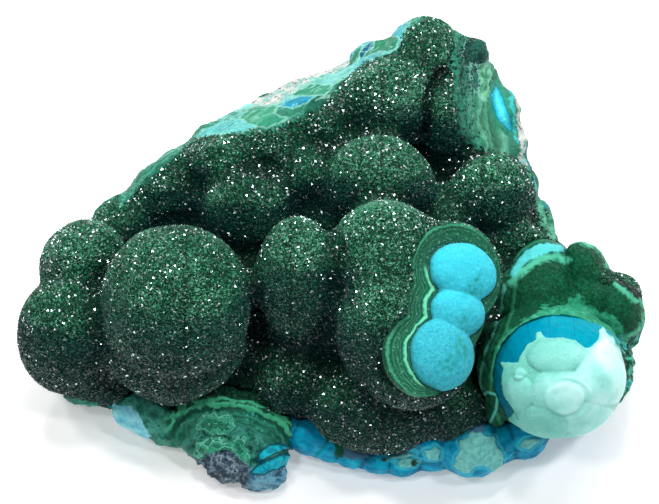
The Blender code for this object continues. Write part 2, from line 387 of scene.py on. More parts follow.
tilt = math.radians(ELEVATION)
TO_CAMERA = (0, -math.cos(tilt), math.sin(tilt))
UP_IN_VIEW = (0, math.sin(tilt), math.cos(tilt))
backwards = Vector(TO_CAMERA)
aim = Vector(UP_IN_VIEW) * (AIM_UP * MM) - Vector(DRAWN_MIDDLE * MM)
bpy.ops.object.camera_add(
    location=aim + backwards * DISTANCE * MM, rotation=(math.radians(90 - ELEVATION), 0, 0)
)
camera = bpy.context.object
camera.name = "camera"
FIELD = PICTURE[0] / PIXELS_PER_MM  # mm across, at the lobes' middle height
camera.data.lens = camera.data.sensor_width * (DISTANCE - LOBE_HEIGHT) / FIELD
camera.data.clip_start = 0.01
bpy.context.scene.camera = camera
print("lens, mm:", round(camera.data.lens, 1))

# %% Where things are seen
def seen(points):
    """Where drawn points appear from the front and above, across and up in millimetres."""
    nearer = (DISTANCE - LOBE_HEIGHT) / (DISTANCE - points @ TO_CAMERA)
    up = AIM_UP + (points @ UP_IN_VIEW - AIM_UP) * nearer
    return np.stack([points[:, 0] * nearer, up], axis=1)


def survey(piece):
    """A piece's points, normals, seen places, and how far each point faces the front."""
    points, normals = points_of(piece), read(piece, "normal")
    return points, normals, seen(points), normals @ TO_CAMERA


def to_stretches(places, starts, ends):
    """Distance from each place to the nearest of several straight stretches."""
    best = np.full(len(places), np.inf)
    for start, end in zip(starts, ends):
        along = end - start
        share = np.clip(((places - start) @ along) / (along @ along), 0, 1)
        best = np.minimum(best, np.hypot(*(places - start - share[:, None] * along).T))
    return best


def line_gap(places, line):
    """Distance to an open line."""
    line = np.array(line, float)
    return to_stretches(places, line[:-1], line[1:])


def outline_gap(places, outline):
    """Distance to a closed outline, below 0 inside it."""
    corners = np.array(outline, float)
    following = np.roll(corners, -1, axis=0)
    inside = np.zeros(len(places), bool)
    for (x1, y1), (x2, y2) in zip(corners, following):
        crosses = (y1 > places[:, 1]) != (y2 > places[:, 1])
        slope = (x2 - x1) / (y2 - y1 if y2 != y1 else 1e-9)
        inside ^= crosses & (places[:, 0] < x1 + slope * (places[:, 1] - y1))
    gap = to_stretches(places, corners, following)
    return np.where(inside, -gap, gap)


def nearest(gap, places, shapes):
    """The smallest of the distances to several lines or outlines."""
    return np.min([gap(places, shape) for shape in shapes], axis=0)


# %% Floor and light
FLOOR_GREYS = (243.4, 245.8)  # on a screen that goes to 255
bpy.ops.mesh.primitive_plane_add(size=6, location=(0, 0, -0.0001))
floor = bpy.context.object
floor.name = "floor"
studio_floor = Finish("studio_floor", roughness=0.9)
darkest, lightest = ([grey] * 3 for grey in FLOOR_GREYS)
studio_floor.tint = studio_floor.mix(studio_floor.noise(400.0, detail=1), darkest, lightest)
floor.data.materials.append(studio_floor.paint())
studio_floor.shader.inputs["Emission Color"].default_value = (1, 1, 1, 1)
studio_floor.shader.inputs["Emission Strength"].default_value = 0.3


def add_light(name, where, size, power):
    """A square soft light that faces the specimen."""
    bpy.ops.object.light_add(type="AREA", location=where)
    light = bpy.context.object
    light.name = name
    light.rotation_euler = Vector(where).to_track_quat("Z", "Y").to_euler()
    light.data.size = size
    light.data.energy = power


add_light("soft_top", (0.12, 0.4, 0.75), 0.6, 3.4)
GLITTER_LIGHTS = (
    (-0.42, 0.2, 0.66), (0.45, 0.12, 0.66), (0.12, 0.56, 0.58), (-0.2, 0.5, 0.62), (0.0, 0.12, 0.85),
    (-0.25, -0.2, 0.78), (0.3, -0.15, 0.78),
)
for number, where in enumerate(GLITTER_LIGHTS, 1):
    add_light(f"glitter_{number}", where, 0.085, 1.35)
world = bpy.data.worlds.new("studio")
bpy.context.scene.world = world
world.use_nodes = True
world.node_tree.nodes["Background"].inputs["Color"].default_value = (1, 1, 1, 1)
world.node_tree.nodes["Background"].inputs["Strength"].default_value = 0.12
bpy.context.scene.view_settings.view_transform = "Standard"
print("lights:", 1 + len(GLITTER_LIGHTS))

# %% [markdown]
# ## Where each mineral lies
# The same drawn shapes that made the solid say where the minerals are: the broken faces are
# planes, and the ball, the collar, the blue crust and the ledges are lobes. Small marks, such
# as a strip of another colour, are outlines in millimetres across and up, as they are seen
# from the front and above. Keeping them as short tables lets the skin, the crystals and the
# separate pieces agree on every edge.

# %% Drawn shapes
RIGHT_FACE = {"point": (20.8, 24.2, 29.0), "faces": (0.87, 0.03, 0.49)}
WINDOW_POINT = np.array([17.6, -17.6, 35.4])
WINDOW_FACES = (0.46, -0.25, 0.85)
WINDOW_ROUNDS = ((1.6, 4.9, 7.9), (0.5, -1.4, 6.9), (-2.6, -8.8, 6.5), (0.2, -7.6, 6.3))
TURQUOISE_LOBES = (  # across, up, half across, half up, height
    (2.6, 5.3, 5.8, 4.6, 2.8),
    (2.4, -1.1, 4.7, 3.9, 2.6),
    (0.6, -8.2, 5.5, 5.6, 3.0),
)
PALE_BALL = (35.5, -23.9, 22.0, 10.5, 9.8, 9.6)
CUP = (34.6, -22.0, 20.3, 11.7, 10.3, 9.6)  # the rim of the collar that holds the ball
COLLAR_LOBES = (
    CUP,
    (33.6, -2.8, 14.5, 5.6, 4.7, 7.0), (33.2, -9.0, 16.0, 7.6, 7.0, 8.5),
    (39.8, -5.2, 15.4, 4.5, 6.0, 8.5), (40.2, -9.8, 15.0, 5.2, 5.0, 8.0),
    (45.0, -10.2, 13.5, 4.8, 5.4, 7.5), (44.3, -17.3, 11.0, 3.8, 6.4, 5.5),
    (26.2, -20.5, 14.5, 3.2, 8.4, 8.0),
)
BLUE_LOBES = (
    (26.6, -29.0, 7.2, 3.8, 3.6, 4.6), (18.6, -28.8, 5.0, 4.0, 3.6, 4.2),
    (16.0, -29.8, 4.4, 4.2, 2.9, 3.6), (8.0, -30.2, 4.0, 4.0, 2.8, 3.2),
    (0.4, -28.4, 4.6, 4.0, 2.8, 3.4), (36.5, -21.0, 10.0, 9.0, 8.0, 7.5),
    (22.5, -29.6, 7.0, 5.8, 5.0, 6.0), (15.4, -28.4, 7.0, 4.4, 4.0, 5.0),
    (30.6, -27.6, 7.0, 4.2, 4.0, 5.0), (11.6, -30.5, 4.0, 3.6, 3.0, 3.4),
    (4.0, -29.4, 4.4, 4.0, 2.8, 3.4), (-3.0, -27.6, 6.0, 3.8, 3.0, 3.8),
    (-6.4, -26.6, 6.4, 2.8, 2.4, 3.2),
)
LEDGE_LOBES = (
    (-15.2, -25.0, 7.0, 9.6, 5.0, 7.0), (-24.0, -25.6, 5.0, 5.6, 3.4, 4.0),
    (-37.4, -21.2, 8.4, 5.0, 2.2, 2.2), (-30.8, -23.2, 6.0, 4.0, 3.2, 4.0),
    (-11.0, -27.0, 6.2, 6.0, 4.0, 6.0), (-18.5, -27.6, 5.6, 5.4, 4.0, 5.6),
    (-27.5, -24.4, 6.0, 5.0, 3.6, 4.2),
)
ROCK_LOBES = (
    (-15.8, -30.8, 4.6, 4.2, 3.6, 4.6), (-11.0, -32.6, 3.0, 4.0, 2.6, 3.4),
    (-9.6, -29.6, 6.0, 3.4, 3.2, 3.6),
)

STONE_EXTRAS = (  # low humps on the broken edges
    (23.3, 31.6, 23.0, 2.4, 2.6, 3.2), (28.6, 25.2, 14.0, 2.2, 4.0, 5.0),
    (29.8, 20.0, 11.5, 2.2, 3.6, 4.4), (31.4, 14.5, 9.0, 2.2, 3.6, 5.0),
    (33.7, 8.0, 9.0, 2.2, 4.2, 5.0), (20.5, 14.0, 17.5, 3.6, 3.6, 4.5),
    (17.0, 14.8, 17.0, 3.6, 3.0, 4.4), (-17.5, 18.4, 17.8, 5.0, 3.6, 3.8),
    (8.0, 30.6, 24.5, 5.0, 2.6, 2.8),
)
BACK_DRUSE_EDGE = (  # where the druse ends at the back, as seen
    (-33.1, 14.2), (-29.9, 17.1), (-26.3, 20.2), (-23.6, 22.9), (-21.1, 25.0), (-15.7, 25.6),
    (-10.5, 25.8), (-6.2, 27.5), (-2.0, 29.2), (2.1, 34.0), (5.3, 36.7), (10.7, 38.7),
    (11.6, 41.5), (15.1, 43.9), (17.5, 44.8), (19.8, 45.4),
)
BACK_ZONE = (*BACK_DRUSE_EDGE, (19.8, 70.0), (-33.1, 70.0))
CREST = (
    (-34, -28.7, -21.4, -14.8, -7.2, -1.8, 3.9, 10.8, 17, 26),
    (4, 10.1, 14.4, 15.8, 16, 19.5, 24.3, 29, 32, 32),
)
RIGHT_FACE_LEFT_EDGE = ((24.0, 42.4), (22.2, 39.8), (21.1, 36.1), (20.0, 31.0), (20.2, 26.6), (21.1, 23.7))
FACE_MARKS = {  # layers that show on the broken faces, as seen
    "cyan_strip": (
        (-21.2, 24.9), (-20.2, 26.0), (-17.8, 26.9), (-15.7, 27.7), (-13.3, 27.7), (-10.9, 27.3),
        (-12.6, 25.9), (-15.7, 25.4), (-18.9, 25.2),
    ),
    "pale_strip": (
        (-16.8, 29.9), (-13.6, 30.8), (-10.5, 31.3), (-5.2, 32.5), (-2.0, 34.1), (2.2, 35.5), (5.3, 37.9),
        (4.8, 36.1), (2.7, 34.5), (0.1, 32.8), (-3.1, 31.7), (-6.8, 30.7), (-10.5, 30.4), (-14.7, 29.0),
    ),
    "cyan_right": (
        (3.0, 34.4), (5.3, 36.5), (8.5, 38.0), (10.7, 38.5), (11.5, 40.8), (12.9, 43.2), (10.6, 42.6),
        (7.5, 41.4), (5.3, 39.8), (4.8, 37.4),
    ),
    "green_right": ((5.3, 37.5), (6.4, 40.0), (9.0, 40.9), (10.9, 40.7), (10.6, 38.8), (7.5, 38.2)),
    "blue_lens": ((-7.9, 29.8), (-6.8, 30.9), (-4.1, 31.5), (-2.0, 31.5), (-3.6, 30.3), (-5.7, 29.6)),
    "streak": ((4.9, 37.0), (4.7, 38.2), (5.6, 39.5), (7.2, 40.4), (6.8, 39.2), (5.6, 38.2)),
    "green_left": (
        (-14.2, 28.0), (-12.0, 30.0), (-8.0, 30.0), (-8.8, 28.6), (-6.2, 27.8), (-10.2, 26.4),
        (-12.6, 27.0),
    ),
    "green_mid": ((-6.4, 31.6), (-3.0, 33.4), (0.6, 33.2), (-0.4, 31.8), (-3.6, 31.2)),
    "cyan_spot": ((-19.4, 27.6), (-17.6, 29.6), (-15.8, 29.4), (-16.6, 28.0)),
    "dark_top": (
        (20.9, 38.4), (22.2, 40.9), (25.0, 42.5), (26.2, 39.5), (24.9, 36.8), (23.1, 35.9), (21.2, 36.2),
    ),
    "dark_vein": ((22.2, 36.8), (23.5, 36.8), (23.7, 34.0), (23.3, 31.8), (22.4, 32.0)),
    "light_vein": ((23.7, 36.6), (25.4, 35.9), (25.3, 33.0), (24.9, 30.8), (23.9, 31.2)),
    "lens_mm": (
        (26.3, 33.3), (25.5, 31.6), (25.8, 29.5), (26.9, 27.3), (28.4, 25.9), (28.9, 26.1), (28.6, 28.0),
        (27.8, 29.9), (27.0, 32.1),
    ),
    "right_matrix": (
        (28.9, 32.4), (29.6, 30.2), (29.8, 27.6), (30.0, 24.0), (30.0, 20.6), (34.0, 20.6), (34.0, 34.0),
    ),
}
CYAN_ARC = ((26.2, 36.0), (27.6, 34.9), (28.6, 32.4), (29.0, 29.2), (29.4, 26.1), (29.7, 23.7))
SIDE_RIM = ((32.2, 19.6), (32.9, 17.0), (33.5, 14.0), (34.4, 11.6), (35.6, 9.2))
LEFT_LOBE_FLANK = (
    (-35.5, -7.8), (-31.0, -10.3), (-26.8, -9.8), (-20.5, -10.3), (-13.4, -8.2), (-12.0, -12.5),
    (-18.4, -18.0), (-26.8, -18.5), (-34.6, -15.6),
)
LEFT_LOBE_LOWER_FLANK = (
    (-34.4, -11.9), (-26.8, -13.4), (-19.7, -13.4), (-13.4, -10.9), (-12.0, -13.5), (-18.4, -18.0),
    (-26.8, -18.5), (-34.6, -15.6),
)
COARSE_SPOTS = (  # where the druse is coarser and brighter, as seen: across, up, radius
    (-40.5, 6.6, 5.5), (10.3, 31.6, 7.0), (1.0, 28.0, 4.5), (8.5, 19.0, 6.0), (25.7, 17.4, 6.0),
    (-26.0, 15.8, 4.5), (-4.7, -12.6, 5.0), (12.0, -20.0, 5.5), (-9.0, 21.0, 5.0),
)
PALE_SPOTS = (  # where its green is lighter
    (-24.0, -2.5, 9.0), (-40.5, 6.6, 6.0), (7.5, 11.0, 7.0), (8.0, 19.0, 6.0), (25.5, 17.0, 6.0),
    (10.3, 31.6, 7.0), (-4.7, 3.5, 7.0), (6.0, -2.0, 6.0), (-34.0, -8.0, 5.0),
)
GROOVE = ((20.9, 38.8), (19.1, 36.2), (17.5, 34.6), (16.2, 32.5), (15.6, 29.9), (15.4, 26.7), (15.0, 24.0))
SHADED_EDGE = ((20.4, 19.9), (23.0, 22.3), (27.2, 22.8), (30.3, 21.2), (31.8, 18.6), (32.3, 15.6))
RIGHT_ZONE = (*RIGHT_FACE_LEFT_EDGE, (25.9, 23.0), (29.0, 21.8), (36.0, 20.5), (40.0, 44.0))
print("marks on the broken faces:", len(FACE_MARKS))


def face_axes(faces):
    """Unit vectors across, up and out of a sloping face."""
    out = Vector(faces).normalized()
    across = Vector((0, 1, 0)).cross(out).normalized()
    return np.array([across, out.cross(across), out])


def on_window(points):
    """Places across, up and out of the window's face."""
    return (points - WINDOW_POINT) @ face_axes(WINDOW_FACES).T


def from_window(places):
    """Drawn points of places across, up and out of the window's face."""
    return WINDOW_POINT + places @ face_axes(WINDOW_FACES)


def turquoise_edge(places):
    """Distance to the outline of the turquoise lobes, below 0 inside."""
    gaps = [(round_share(places, *lobe[:4]) - 1) * lobe[3] for lobe in TURQUOISE_LOBES]
    return np.min(gaps, axis=0)


# %% [markdown]
# ## The stone
# The solid has flat facets, because a small file needs few of them. A remesh with a fine
# cell and some smoothing turns a copy of it into an even, round skin. The broken places get
# finer cells and a rough surface, because rock that broke is never smooth. Each point is
# then marked with its distance from the druse, and the material reads that as bands.

# %% Skin of the stone
STONE_CELL = 0.72  # mm
GRAIN_DEPTH = 0.3  # mm that the skin lies under the tips of the grains
stone = copy_of(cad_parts["specimen"], "stone")
only(stone)
bpy.ops.object.mode_set(mode="EDIT")
bpy.ops.mesh.select_all(action="SELECT")
bpy.ops.mesh.remove_doubles(threshold=1e-6)
bpy.ops.object.mode_set(mode="OBJECT")
stone = grow_together("stone", [stone] + add_lobes(STONE_EXTRAS, 24), STONE_CELL, smoothing=14)


def broken(points, normals):
    """Share, 0 to 1, of broken face at each point."""
    spots = seen(points) + 0.5 * rough(points, 1.8, 3, seed=3)[:, None]
    front = normals @ TO_CAMERA
    back = step(-outline_gap(spots, BACK_ZONE), -0.15, 0.15) * (front > -0.15)
    crest = np.interp(points[:, 0], *CREST)
    back = np.maximum(back, (front < 0.15) & (points[:, 1] > crest - 1) & (normals[:, 1] > 0))
    right = step(-outline_gap(spots, RIGHT_ZONE), -0.15, 0.15)
    right *= (front > -0.3) & (normals[:, 0] > 0.25) & (points[:, 1] > 12.5)
    above = (points - RIGHT_FACE["point"]) @ face_axes(RIGHT_FACE["faces"])[2]
    right = np.maximum(right, (above > -1) & (points[:, 1] > 17.5) & (points[:, 0] > 20))
    rim = step(-line_gap(spots, SIDE_RIM), -0.6, -0.35) * (points[:, 0] > 28) * (front > -0.3)
    return np.maximum(np.maximum(back, right), rim)


def under_crust(points):
    """Whether a point lies under the blue crust or the ledges."""
    return outside(points, BLUE_LOBES + LEDGE_LOBES + ROCK_LOBES) < 0.8


def covered(points):
    """1 where a piece of its own covers the stone, 0 elsewhere."""
    places = on_window(points)
    hidden = (rounds_gap(places, WINDOW_ROUNDS) < -0.1) & (np.abs(places[:, 2]) < 4)
    hidden |= outside(points, (PALE_BALL,)) < 0.3
    hidden |= outside(points, COLLAR_LOBES) < 0.25
    return (hidden | under_crust(points)).astype(float)


def bare_rock(points):
    """Millimetres below the line where the druse ends, with a ragged edge."""
    line = 8.8 + 0.02 * points[:, 0] + 0.2 * (points[:, 1] + 5)
    return line - points[:, 2] + 1.2 * rough(points, 5.0, 3, seed=8)


points = points_of(stone)
uncovered = (broken(points, read(stone, "normal")) > 0.2) | (bare_rock(points) > -1)
choose(stone, uncovered & (points[:, 2] > 0.5))
bpy.ops.mesh.subdivide(number_cuts=1)
bpy.ops.mesh.select_all(action="SELECT")
bpy.ops.mesh.quads_convert_to_tris()
bpy.ops.object.mode_set(mode="OBJECT")
print("stone points:", len(stone.data.vertices))

# %% [markdown]
# ## Hollows and breaks
# Between two lobes the druse lies in shade, and a broken face is torn. Both could be painted, but then the
# light would not follow them. So every point is pushed along its normal: down in the hollows, under the
# grains and under the other pieces, and up and down where the rock broke. A softened copy of the skin tells
# how deep a point lies. What the material needs is marked. The material also paints the hollows and the front
# flanks darker, as painted shade.

# %% Rough breaks and distance from the druse
def hollows(piece, passes=90):
    """How far, in millimetres, each point lies under the softened surface round it."""
    only(piece)
    bpy.ops.object.duplicate()
    softened = bpy.context.object
    soften(softened, passes)
    under = ((points_of(softened) - points_of(piece)) * read(piece, "normal")).sum(axis=1)
    bpy.data.objects.remove(softened)
    return under


def front_flank(normals, low, high):
    """1 where the skin faces down and to the front, away from the big soft light, where the druse is painted
    darker, as painted shade.
    """
    return step(-(normals @ (0, 0.5, 0.85)), low, high)


points, normals, spots, facing = survey(stone)
break_share, rock_depth, hidden = broken(points, normals), bare_rock(points), covered(points)
druse_share = (1 - break_share) * (rock_depth < 0)
# The groove is pushed in, and through the hollow mark it is also painted darker, as painted shade.
groove = bell(line_gap(spots, GROOVE), 0, 0.75) * (points[:, 1] > 10)
hollow = hollows(stone) + 2.0 * groove
torn = -GRAIN_DEPTH * druse_share - 1.1 * np.clip(hollow, 0, 2.2) * druse_share
torn -= hidden * (0.7 + 0.9 * under_crust(points))
near_side = step(facing, -0.25, 0.1) * (points[:, 1] < 3)
# The left lobe's low flanks are sunk a little, and the druse material paints them darker and bluer, as
# painted shade.
flank, lower_flank = (
    step(-outline_gap(spots, outline), -0.1, 0.7) * near_side
    for outline in (LEFT_LOBE_FLANK, LEFT_LOBE_LOWER_FLANK)
)
torn -= 0.4 * flank + 0.4 * lower_flank
torn += break_share * (0.28 * rough(points, 2.0, 4, seed=1) + 0.15 * rough(points, 0.7, 2, seed=2))
torn += step(rock_depth, 0, 1) * 0.45 * rough(points, 3.0, 4, seed=5)
torn *= step(points[:, 2], 0.3, 1.5)
points += normals * torn[:, None]
points[:, 2] = np.maximum(points[:, 2], 0.0)
places = on_window(points)
under = (rounds_gap(places, WINDOW_ROUNDS) < 0) & (np.abs(places[:, 2]) < 5)
places[under, 2] = np.minimum(places[under, 2], -0.35)
points[under] = from_window(places[under])
points = settle(stone, points)

druse_points = points[druse_share > 0.5]
near = KDTree(len(druse_points))
for number, point in enumerate(druse_points):
    near.insert(point, number)
near.balance()
edge_distance = np.zeros(len(points))
for number in np.flatnonzero(druse_share <= 0.5):
    edge_distance[number] = near.find(points[number])[2]
print("broken points:", int((druse_share <= 0.5).sum()))

# %% Marks on the stone
spots = seen(points)
turned_away = 9 * (facing < -0.2)
# The hollow mark takes in the shaded edge, and the flank mark the front flanks and the left lobe's low
# flanks. The druse material paints both darker, as painted shade.
mark(
    stone,
    hollow=hollow + 1.5 * bell(line_gap(spots, SHADED_EDGE), 0, 0.7) * (points[:, 1] > 8),
    flank=np.maximum(front_flank(normals, -0.5, -0.15), 0.6 * flank + 0.4 * lower_flank),
    pale=near_spots(spots, PALE_SPOTS), edge_mm=edge_distance, rock_mm=rock_depth,
    right_face=step(points[:, 0], 17, 19) * (points[:, 1] > 10),
    right_mm=line_gap(spots, RIGHT_FACE_LEFT_EDGE),
    arc_mm=line_gap(spots, CYAN_ARC) + turned_away, side_mm=line_gap(spots, SIDE_RIM) + turned_away,
    **{name: outline_gap(spots, outline) + turned_away for name, outline in FACE_MARKS.items()},
)
print("marks on the stone:", len(stone.data.attributes))

# %% [markdown]
# ## Finish of the stone
# Malachite grows in layers, so a break shows bands that follow the edge of the druse, dark
# and light green with some cyan. A picture of bands would not fit the skin. Here a colour
# ramp reads each point's marked distance from that edge, and noise makes the bands wander.
# Marked outlines add the strips and veins of other minerals, and grey rock comes below.

# %% Material of the stone
bands = Finish("banded_stone", roughness=0.6, gloss=0.1)
far = bands.times(bands.wander("edge_mm", 7.0, 2.0, 4), 1 / 20)
back_bands = bands.ramp(
    far, (0.0, 24, 90, 70), (0.03, 44, 116, 94), (0.05, 70, 150, 128), (0.06, 36, 106, 82),
    (0.1, 52, 128, 102), (0.14, 46, 118, 96), (0.15, 92, 180, 160), (0.165, 40, 112, 90),
    (0.22, 58, 138, 112), (0.24, 100, 190, 180), (0.265, 40, 130, 150), (0.29, 96, 184, 178),
    (0.32, 50, 126, 104), (0.36, 110, 184, 176), (0.4, 70, 140, 124), (0.46, 140, 190, 186),
)
right_bands = bands.ramp(
    bands.times(bands.wander("right_mm", 2.2, 0.5, 4), 1 / 12), (0.0, 14, 48, 40), (0.04, 46, 122, 104),
    (0.13, 38, 112, 92), (0.17, 62, 140, 118), (0.26, 40, 118, 90), (0.3, 88, 166, 138),
    (0.33, 44, 112, 84), (0.38, 76, 154, 124), (0.42, 34, 98, 74), (0.5, 60, 136, 108),
    (0.56, 100, 176, 150), (0.62, 52, 120, 98),
)
lens = bands.wander("lens_mm", 1.2, 0.12, 2)
rings = bands.ramp(
    bands.between(lens, -2.0, 2.0), (0.0, 116, 236, 238), (0.3, 84, 224, 232), (0.46, 30, 170, 196),
    (0.5, 20, 120, 130), (0.54, 52, 140, 112), (0.7, 44, 130, 102),
)
right_bands = bands.mix(bands.between(lens, 0.9, 0.7), right_bands, rings)
bands.tint = bands.mix(bands.marked("right_face"), back_bands, right_bands)

# %% Strips and veins on the breaks
stretched = bands.add(
    "Mapping", {"Vector": bands.where, "Rotation": (0.35, 0.3, 0.55), "Scale": (4.5, 1, 1)},
    vector_type="TEXTURE",
).outputs["Vector"]
strata = bands.noise(1.5, 2, 0.5, where=stretched)
streaky = bands.between(strata, 0.4, 0.6)
for name, tint, other, wander in (
    ("cyan_strip", (104, 196, 190), (60, 150, 150), 0.3),
    ("pale_strip", (130, 206, 198), (70, 150, 140), 0.35),
    ("green_mid", (40, 130, 100), (56, 146, 116), 0.2),
    ("green_left", (44, 134, 104), (60, 150, 118), 0.2),
    ("cyan_spot", (60, 160, 164), (120, 200, 190), 0.3),
    ("cyan_right", (84, 182, 190), (50, 150, 160), 0.3),
    ("green_right", (46, 134, 100), (34, 112, 86), 0.2),
    ("blue_lens", (4, 118, 146), (20, 150, 174), 0.15),
    ("streak", (18, 62, 88), (10, 90, 120), 0.15),
    ("dark_top", (16, 58, 56), (30, 84, 74), 0.4),
    ("dark_vein", (26, 86, 84), (40, 104, 90), 0.5),
    ("light_vein", (120, 200, 160), (48, 128, 96), 0.5),
):
    gap = bands.wander(name, 1.4, wander)
    bands.lay(bands.mix(streaky, tint, other), bands.between(gap, 0.12, -0.12))
    bands.lay((140, 206, 190), bands.line(gap, 0.2, 0.08, 0.5))
back_share = bands.times(bands.math("SUBTRACT", 0.7, bands.marked("right_face")), 0.6)
for height, tint in ((0.6, (168, 222, 210)), (0.4, (20, 92, 92))):
    thin_line = bands.line(bands.math("SUBTRACT", strata, height), 0.022, 0.008)
    bands.lay(tint, bands.times(thin_line, back_share))
bands.lay((60, 190, 196), bands.between(bands.wander("arc_mm", 1.4, 0.5), 0.35, 0.05, 0, 0.8))
side_tint = bands.mix(streaky, (90, 172, 142), (40, 120, 92))
bands.lay(side_tint, bands.between(bands.wander("side_mm", 1.4, 0.5), 1.5, 1.2))

# %% Rock of the stone
speckle = bands.ramp(
    bands.noise(0.8, 3), (0.32, 50, 56, 54), (0.38, 150, 154, 148), (0.5, 208, 210, 204), (0.7, 176, 182, 174)
)
earth = bands.ramp(
    bands.noise(6.0, 5), (0.32, 52, 50, 46), (0.45, 96, 90, 80), (0.54, 66, 104, 92), (0.6, 112, 110, 100),
    (0.7, 80, 88, 84),
)
pale_rock = bands.mix(bands.between(bands.noise(1.6, 4), 0.48, 0.6), speckle, (120, 176, 170))
bands.lay(pale_rock, bands.math("SUBTRACT", bands.between(far, 0.5, 0.54), bands.marked("right_face")))
bands.lay(pale_rock, "right_matrix", edge=0.15, wander=0.5, size=1.2)
deep = bands.wander("rock_mm", 3.0, 1.3, 4)
stained = bands.mix(bands.between(bands.noise(2.0, 4), 0.45, 0.55), (26, 96, 74), (40, 130, 140))
rock_tint = bands.mix(bands.between(deep, 3.4, 2.8), bands.mix(0.4, earth, speckle), stained)
bands.lay(rock_tint, bands.between(deep, 0.6, 1.0))
druse_bed = bands.ramp(bands.noise(0.5, 2), (0.3, 3, 18, 13), (0.6, 8, 40, 28), (0.8, 18, 62, 44))
bands.lay(druse_bed, bands.between(bands.marked("edge_mm"), 0.08, 0.0))
bands.bump(bands.plus(bands.noise(0.9, 5, 0.65), bands.times(bands.cells(0.45), 0.35)), 0.25)
finish_piece(stone, bands.paint(bands.mottled(1.1, 0.42, 0.7)))
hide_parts("specimen")

# %% [markdown]
# ## The druse
# The lobes are covered with grains, each a small crystal with flat, shiny faces. Paint or
# bump can't glitter like that: the sparkle comes from thousands of flat faces that each
# mirror one bit of the studio. So one stubby crystal is modelled, and Geometry Nodes set it
# on the lobes, turned at random and packed closely. The result is realised and kept as mesh,
# in a few pieces, with a tone per crystal for the material.

# %% One crystal
GRAIN = 0.25  # size of a common grain, mm
bpy.ops.mesh.primitive_cone_add(
    vertices=3, radius1=GRAIN * MM, radius2=0, depth=1.35 * GRAIN * MM, location=(0, 0, 0.2 * GRAIN * MM)
)
crystal = keep_place()
crystal.name = "crystal"
print("faces on one crystal:", len(crystal.data.polygons))


# %% Scatter with Geometry Nodes
def scatter_tree(name, shape, spacing, low_size, high_size, sink, seed):
    """A node tree that sets turned copies of a shape on the marked part of a skin."""
    tree = bpy.data.node_groups.new(name, "GeometryNodeTree")
    for way in ("INPUT", "OUTPUT"):
        tree.interface.new_socket("Geometry", in_out=way, socket_type="NodeSocketGeometry")

    def add(kind, values=None, **settings):
        node = tree.nodes.new(kind)
        for key, value in settings.items():
            setattr(node, key, value)
        for key, value in (values or {}).items():
            node.inputs[key].default_value = value
        return node

    skin, done = add("NodeGroupInput"), add("NodeGroupOutput")
    share = add("GeometryNodeInputNamedAttribute", {"Name": "grains"}, data_type="FLOAT")
    spots = add("GeometryNodeDistributePointsOnFaces", distribute_method="POISSON")
    spots.inputs["Distance Min"].default_value = spacing * MM
    spots.inputs["Density Max"].default_value = 2.2 / (spacing * MM) ** 2
    spots.inputs["Seed"].default_value = seed
    turn = add("FunctionNodeRandomValue", {1: (math.tau, math.tau, math.tau)}, data_type="FLOAT_VECTOR")
    size = add("FunctionNodeRandomValue", {2: low_size, 3: high_size}, data_type="FLOAT")
    tone = add("FunctionNodeRandomValue", data_type="FLOAT")
    lower = add("ShaderNodeVectorMath", operation="SCALE")
    lower.inputs["Scale"].default_value = -sink * MM
    sunk = add("GeometryNodeSetPosition")
    source = add("GeometryNodeObjectInfo", {"Object": shape})
    copies = add("GeometryNodeInstanceOnPoints")
    stored = add("GeometryNodeStoreNamedAttribute", {"Name": "tone"}, data_type="FLOAT", domain="INSTANCE")
    real = add("GeometryNodeRealizeInstances")
    for number, random_node in enumerate((turn, size, tone), 1):
        random_node.inputs["Seed"].default_value = seed + number
    wires = (
        (skin.outputs[0], spots.inputs["Mesh"]),
        (share.outputs["Attribute"], spots.inputs["Density Factor"]),
        (spots.outputs["Normal"], lower.inputs[0]),
        (spots.outputs["Points"], sunk.inputs["Geometry"]),
        (lower.outputs[0], sunk.inputs["Offset"]),
        (sunk.outputs["Geometry"], copies.inputs["Points"]),
        (source.outputs["Geometry"], copies.inputs["Instance"]),
        (turn.outputs[0], copies.inputs["Rotation"]),
        (size.outputs[1], copies.inputs["Scale"]),
        (copies.outputs["Instances"], stored.inputs["Geometry"]),
        (tone.outputs[1], stored.inputs["Value"]),
        (stored.outputs["Geometry"], real.inputs["Geometry"]),
        (real.outputs["Geometry"], done.inputs[0]),
    )
    for first, second in wires:
        tree.links.new(first, second)
    return tree


def scatter(name, skin, share, tree):
    """A piece of its own, made of the tree's shapes on part of a skin."""
    piece = copy_of(skin, name)
    mark(piece, grains=share)
    piece.modifiers.new("scatter", "NODES").node_group = tree
    apply_all(piece)
    map_from_above(piece)
    return piece


def map_from_above(piece):
    """Lays out the piece's own map as it is seen from straight above."""
    low, high = (np.array(corner) for corner in cad_box)
    corners = np.empty(len(piece.data.loops), np.int32)
    piece.data.loops.foreach_get("vertex_index", corners)
    spots = read(piece, "co")[corners][:, :2]
    spots = (spots - low[:2] + MM) / (max(high[:2] - low[:2]) + 2 * MM)
    layer = piece.data.uv_layers.new(name="OFBake")
    layer.data.foreach_set("uv", spots.astype(np.float32).ravel())


# %% Grains on the lobes
points, normals, spots, _ = survey(stone)
speckled = step(points[:, 0], 17, 19) * (points[:, 1] > 14) * break_share
speckled *= step(-line_gap(spots, RIGHT_FACE_LEFT_EDGE), -3.6, -1.0)
grains = np.maximum(druse_share, 0.28 * speckled) * (1 - hidden) * (points[:, 2] > 1.5)
druse_tree = scatter_tree("druse", crystal, spacing=0.2, low_size=0.6, high_size=1.25, sink=0.02, seed=11)
PARTS_FROM_LEFT = (-60, -22, -6, 8, 24, 60)  # mm; no piece gets too many crystals
druse_pieces = []
for number, (left, right) in enumerate(zip(PARTS_FROM_LEFT, PARTS_FROM_LEFT[1:]), 1):
    part = (points[:, 0] >= left) & (points[:, 0] < right)
    druse_pieces.append(scatter(f"druse_{number}", stone, grains * part, druse_tree))

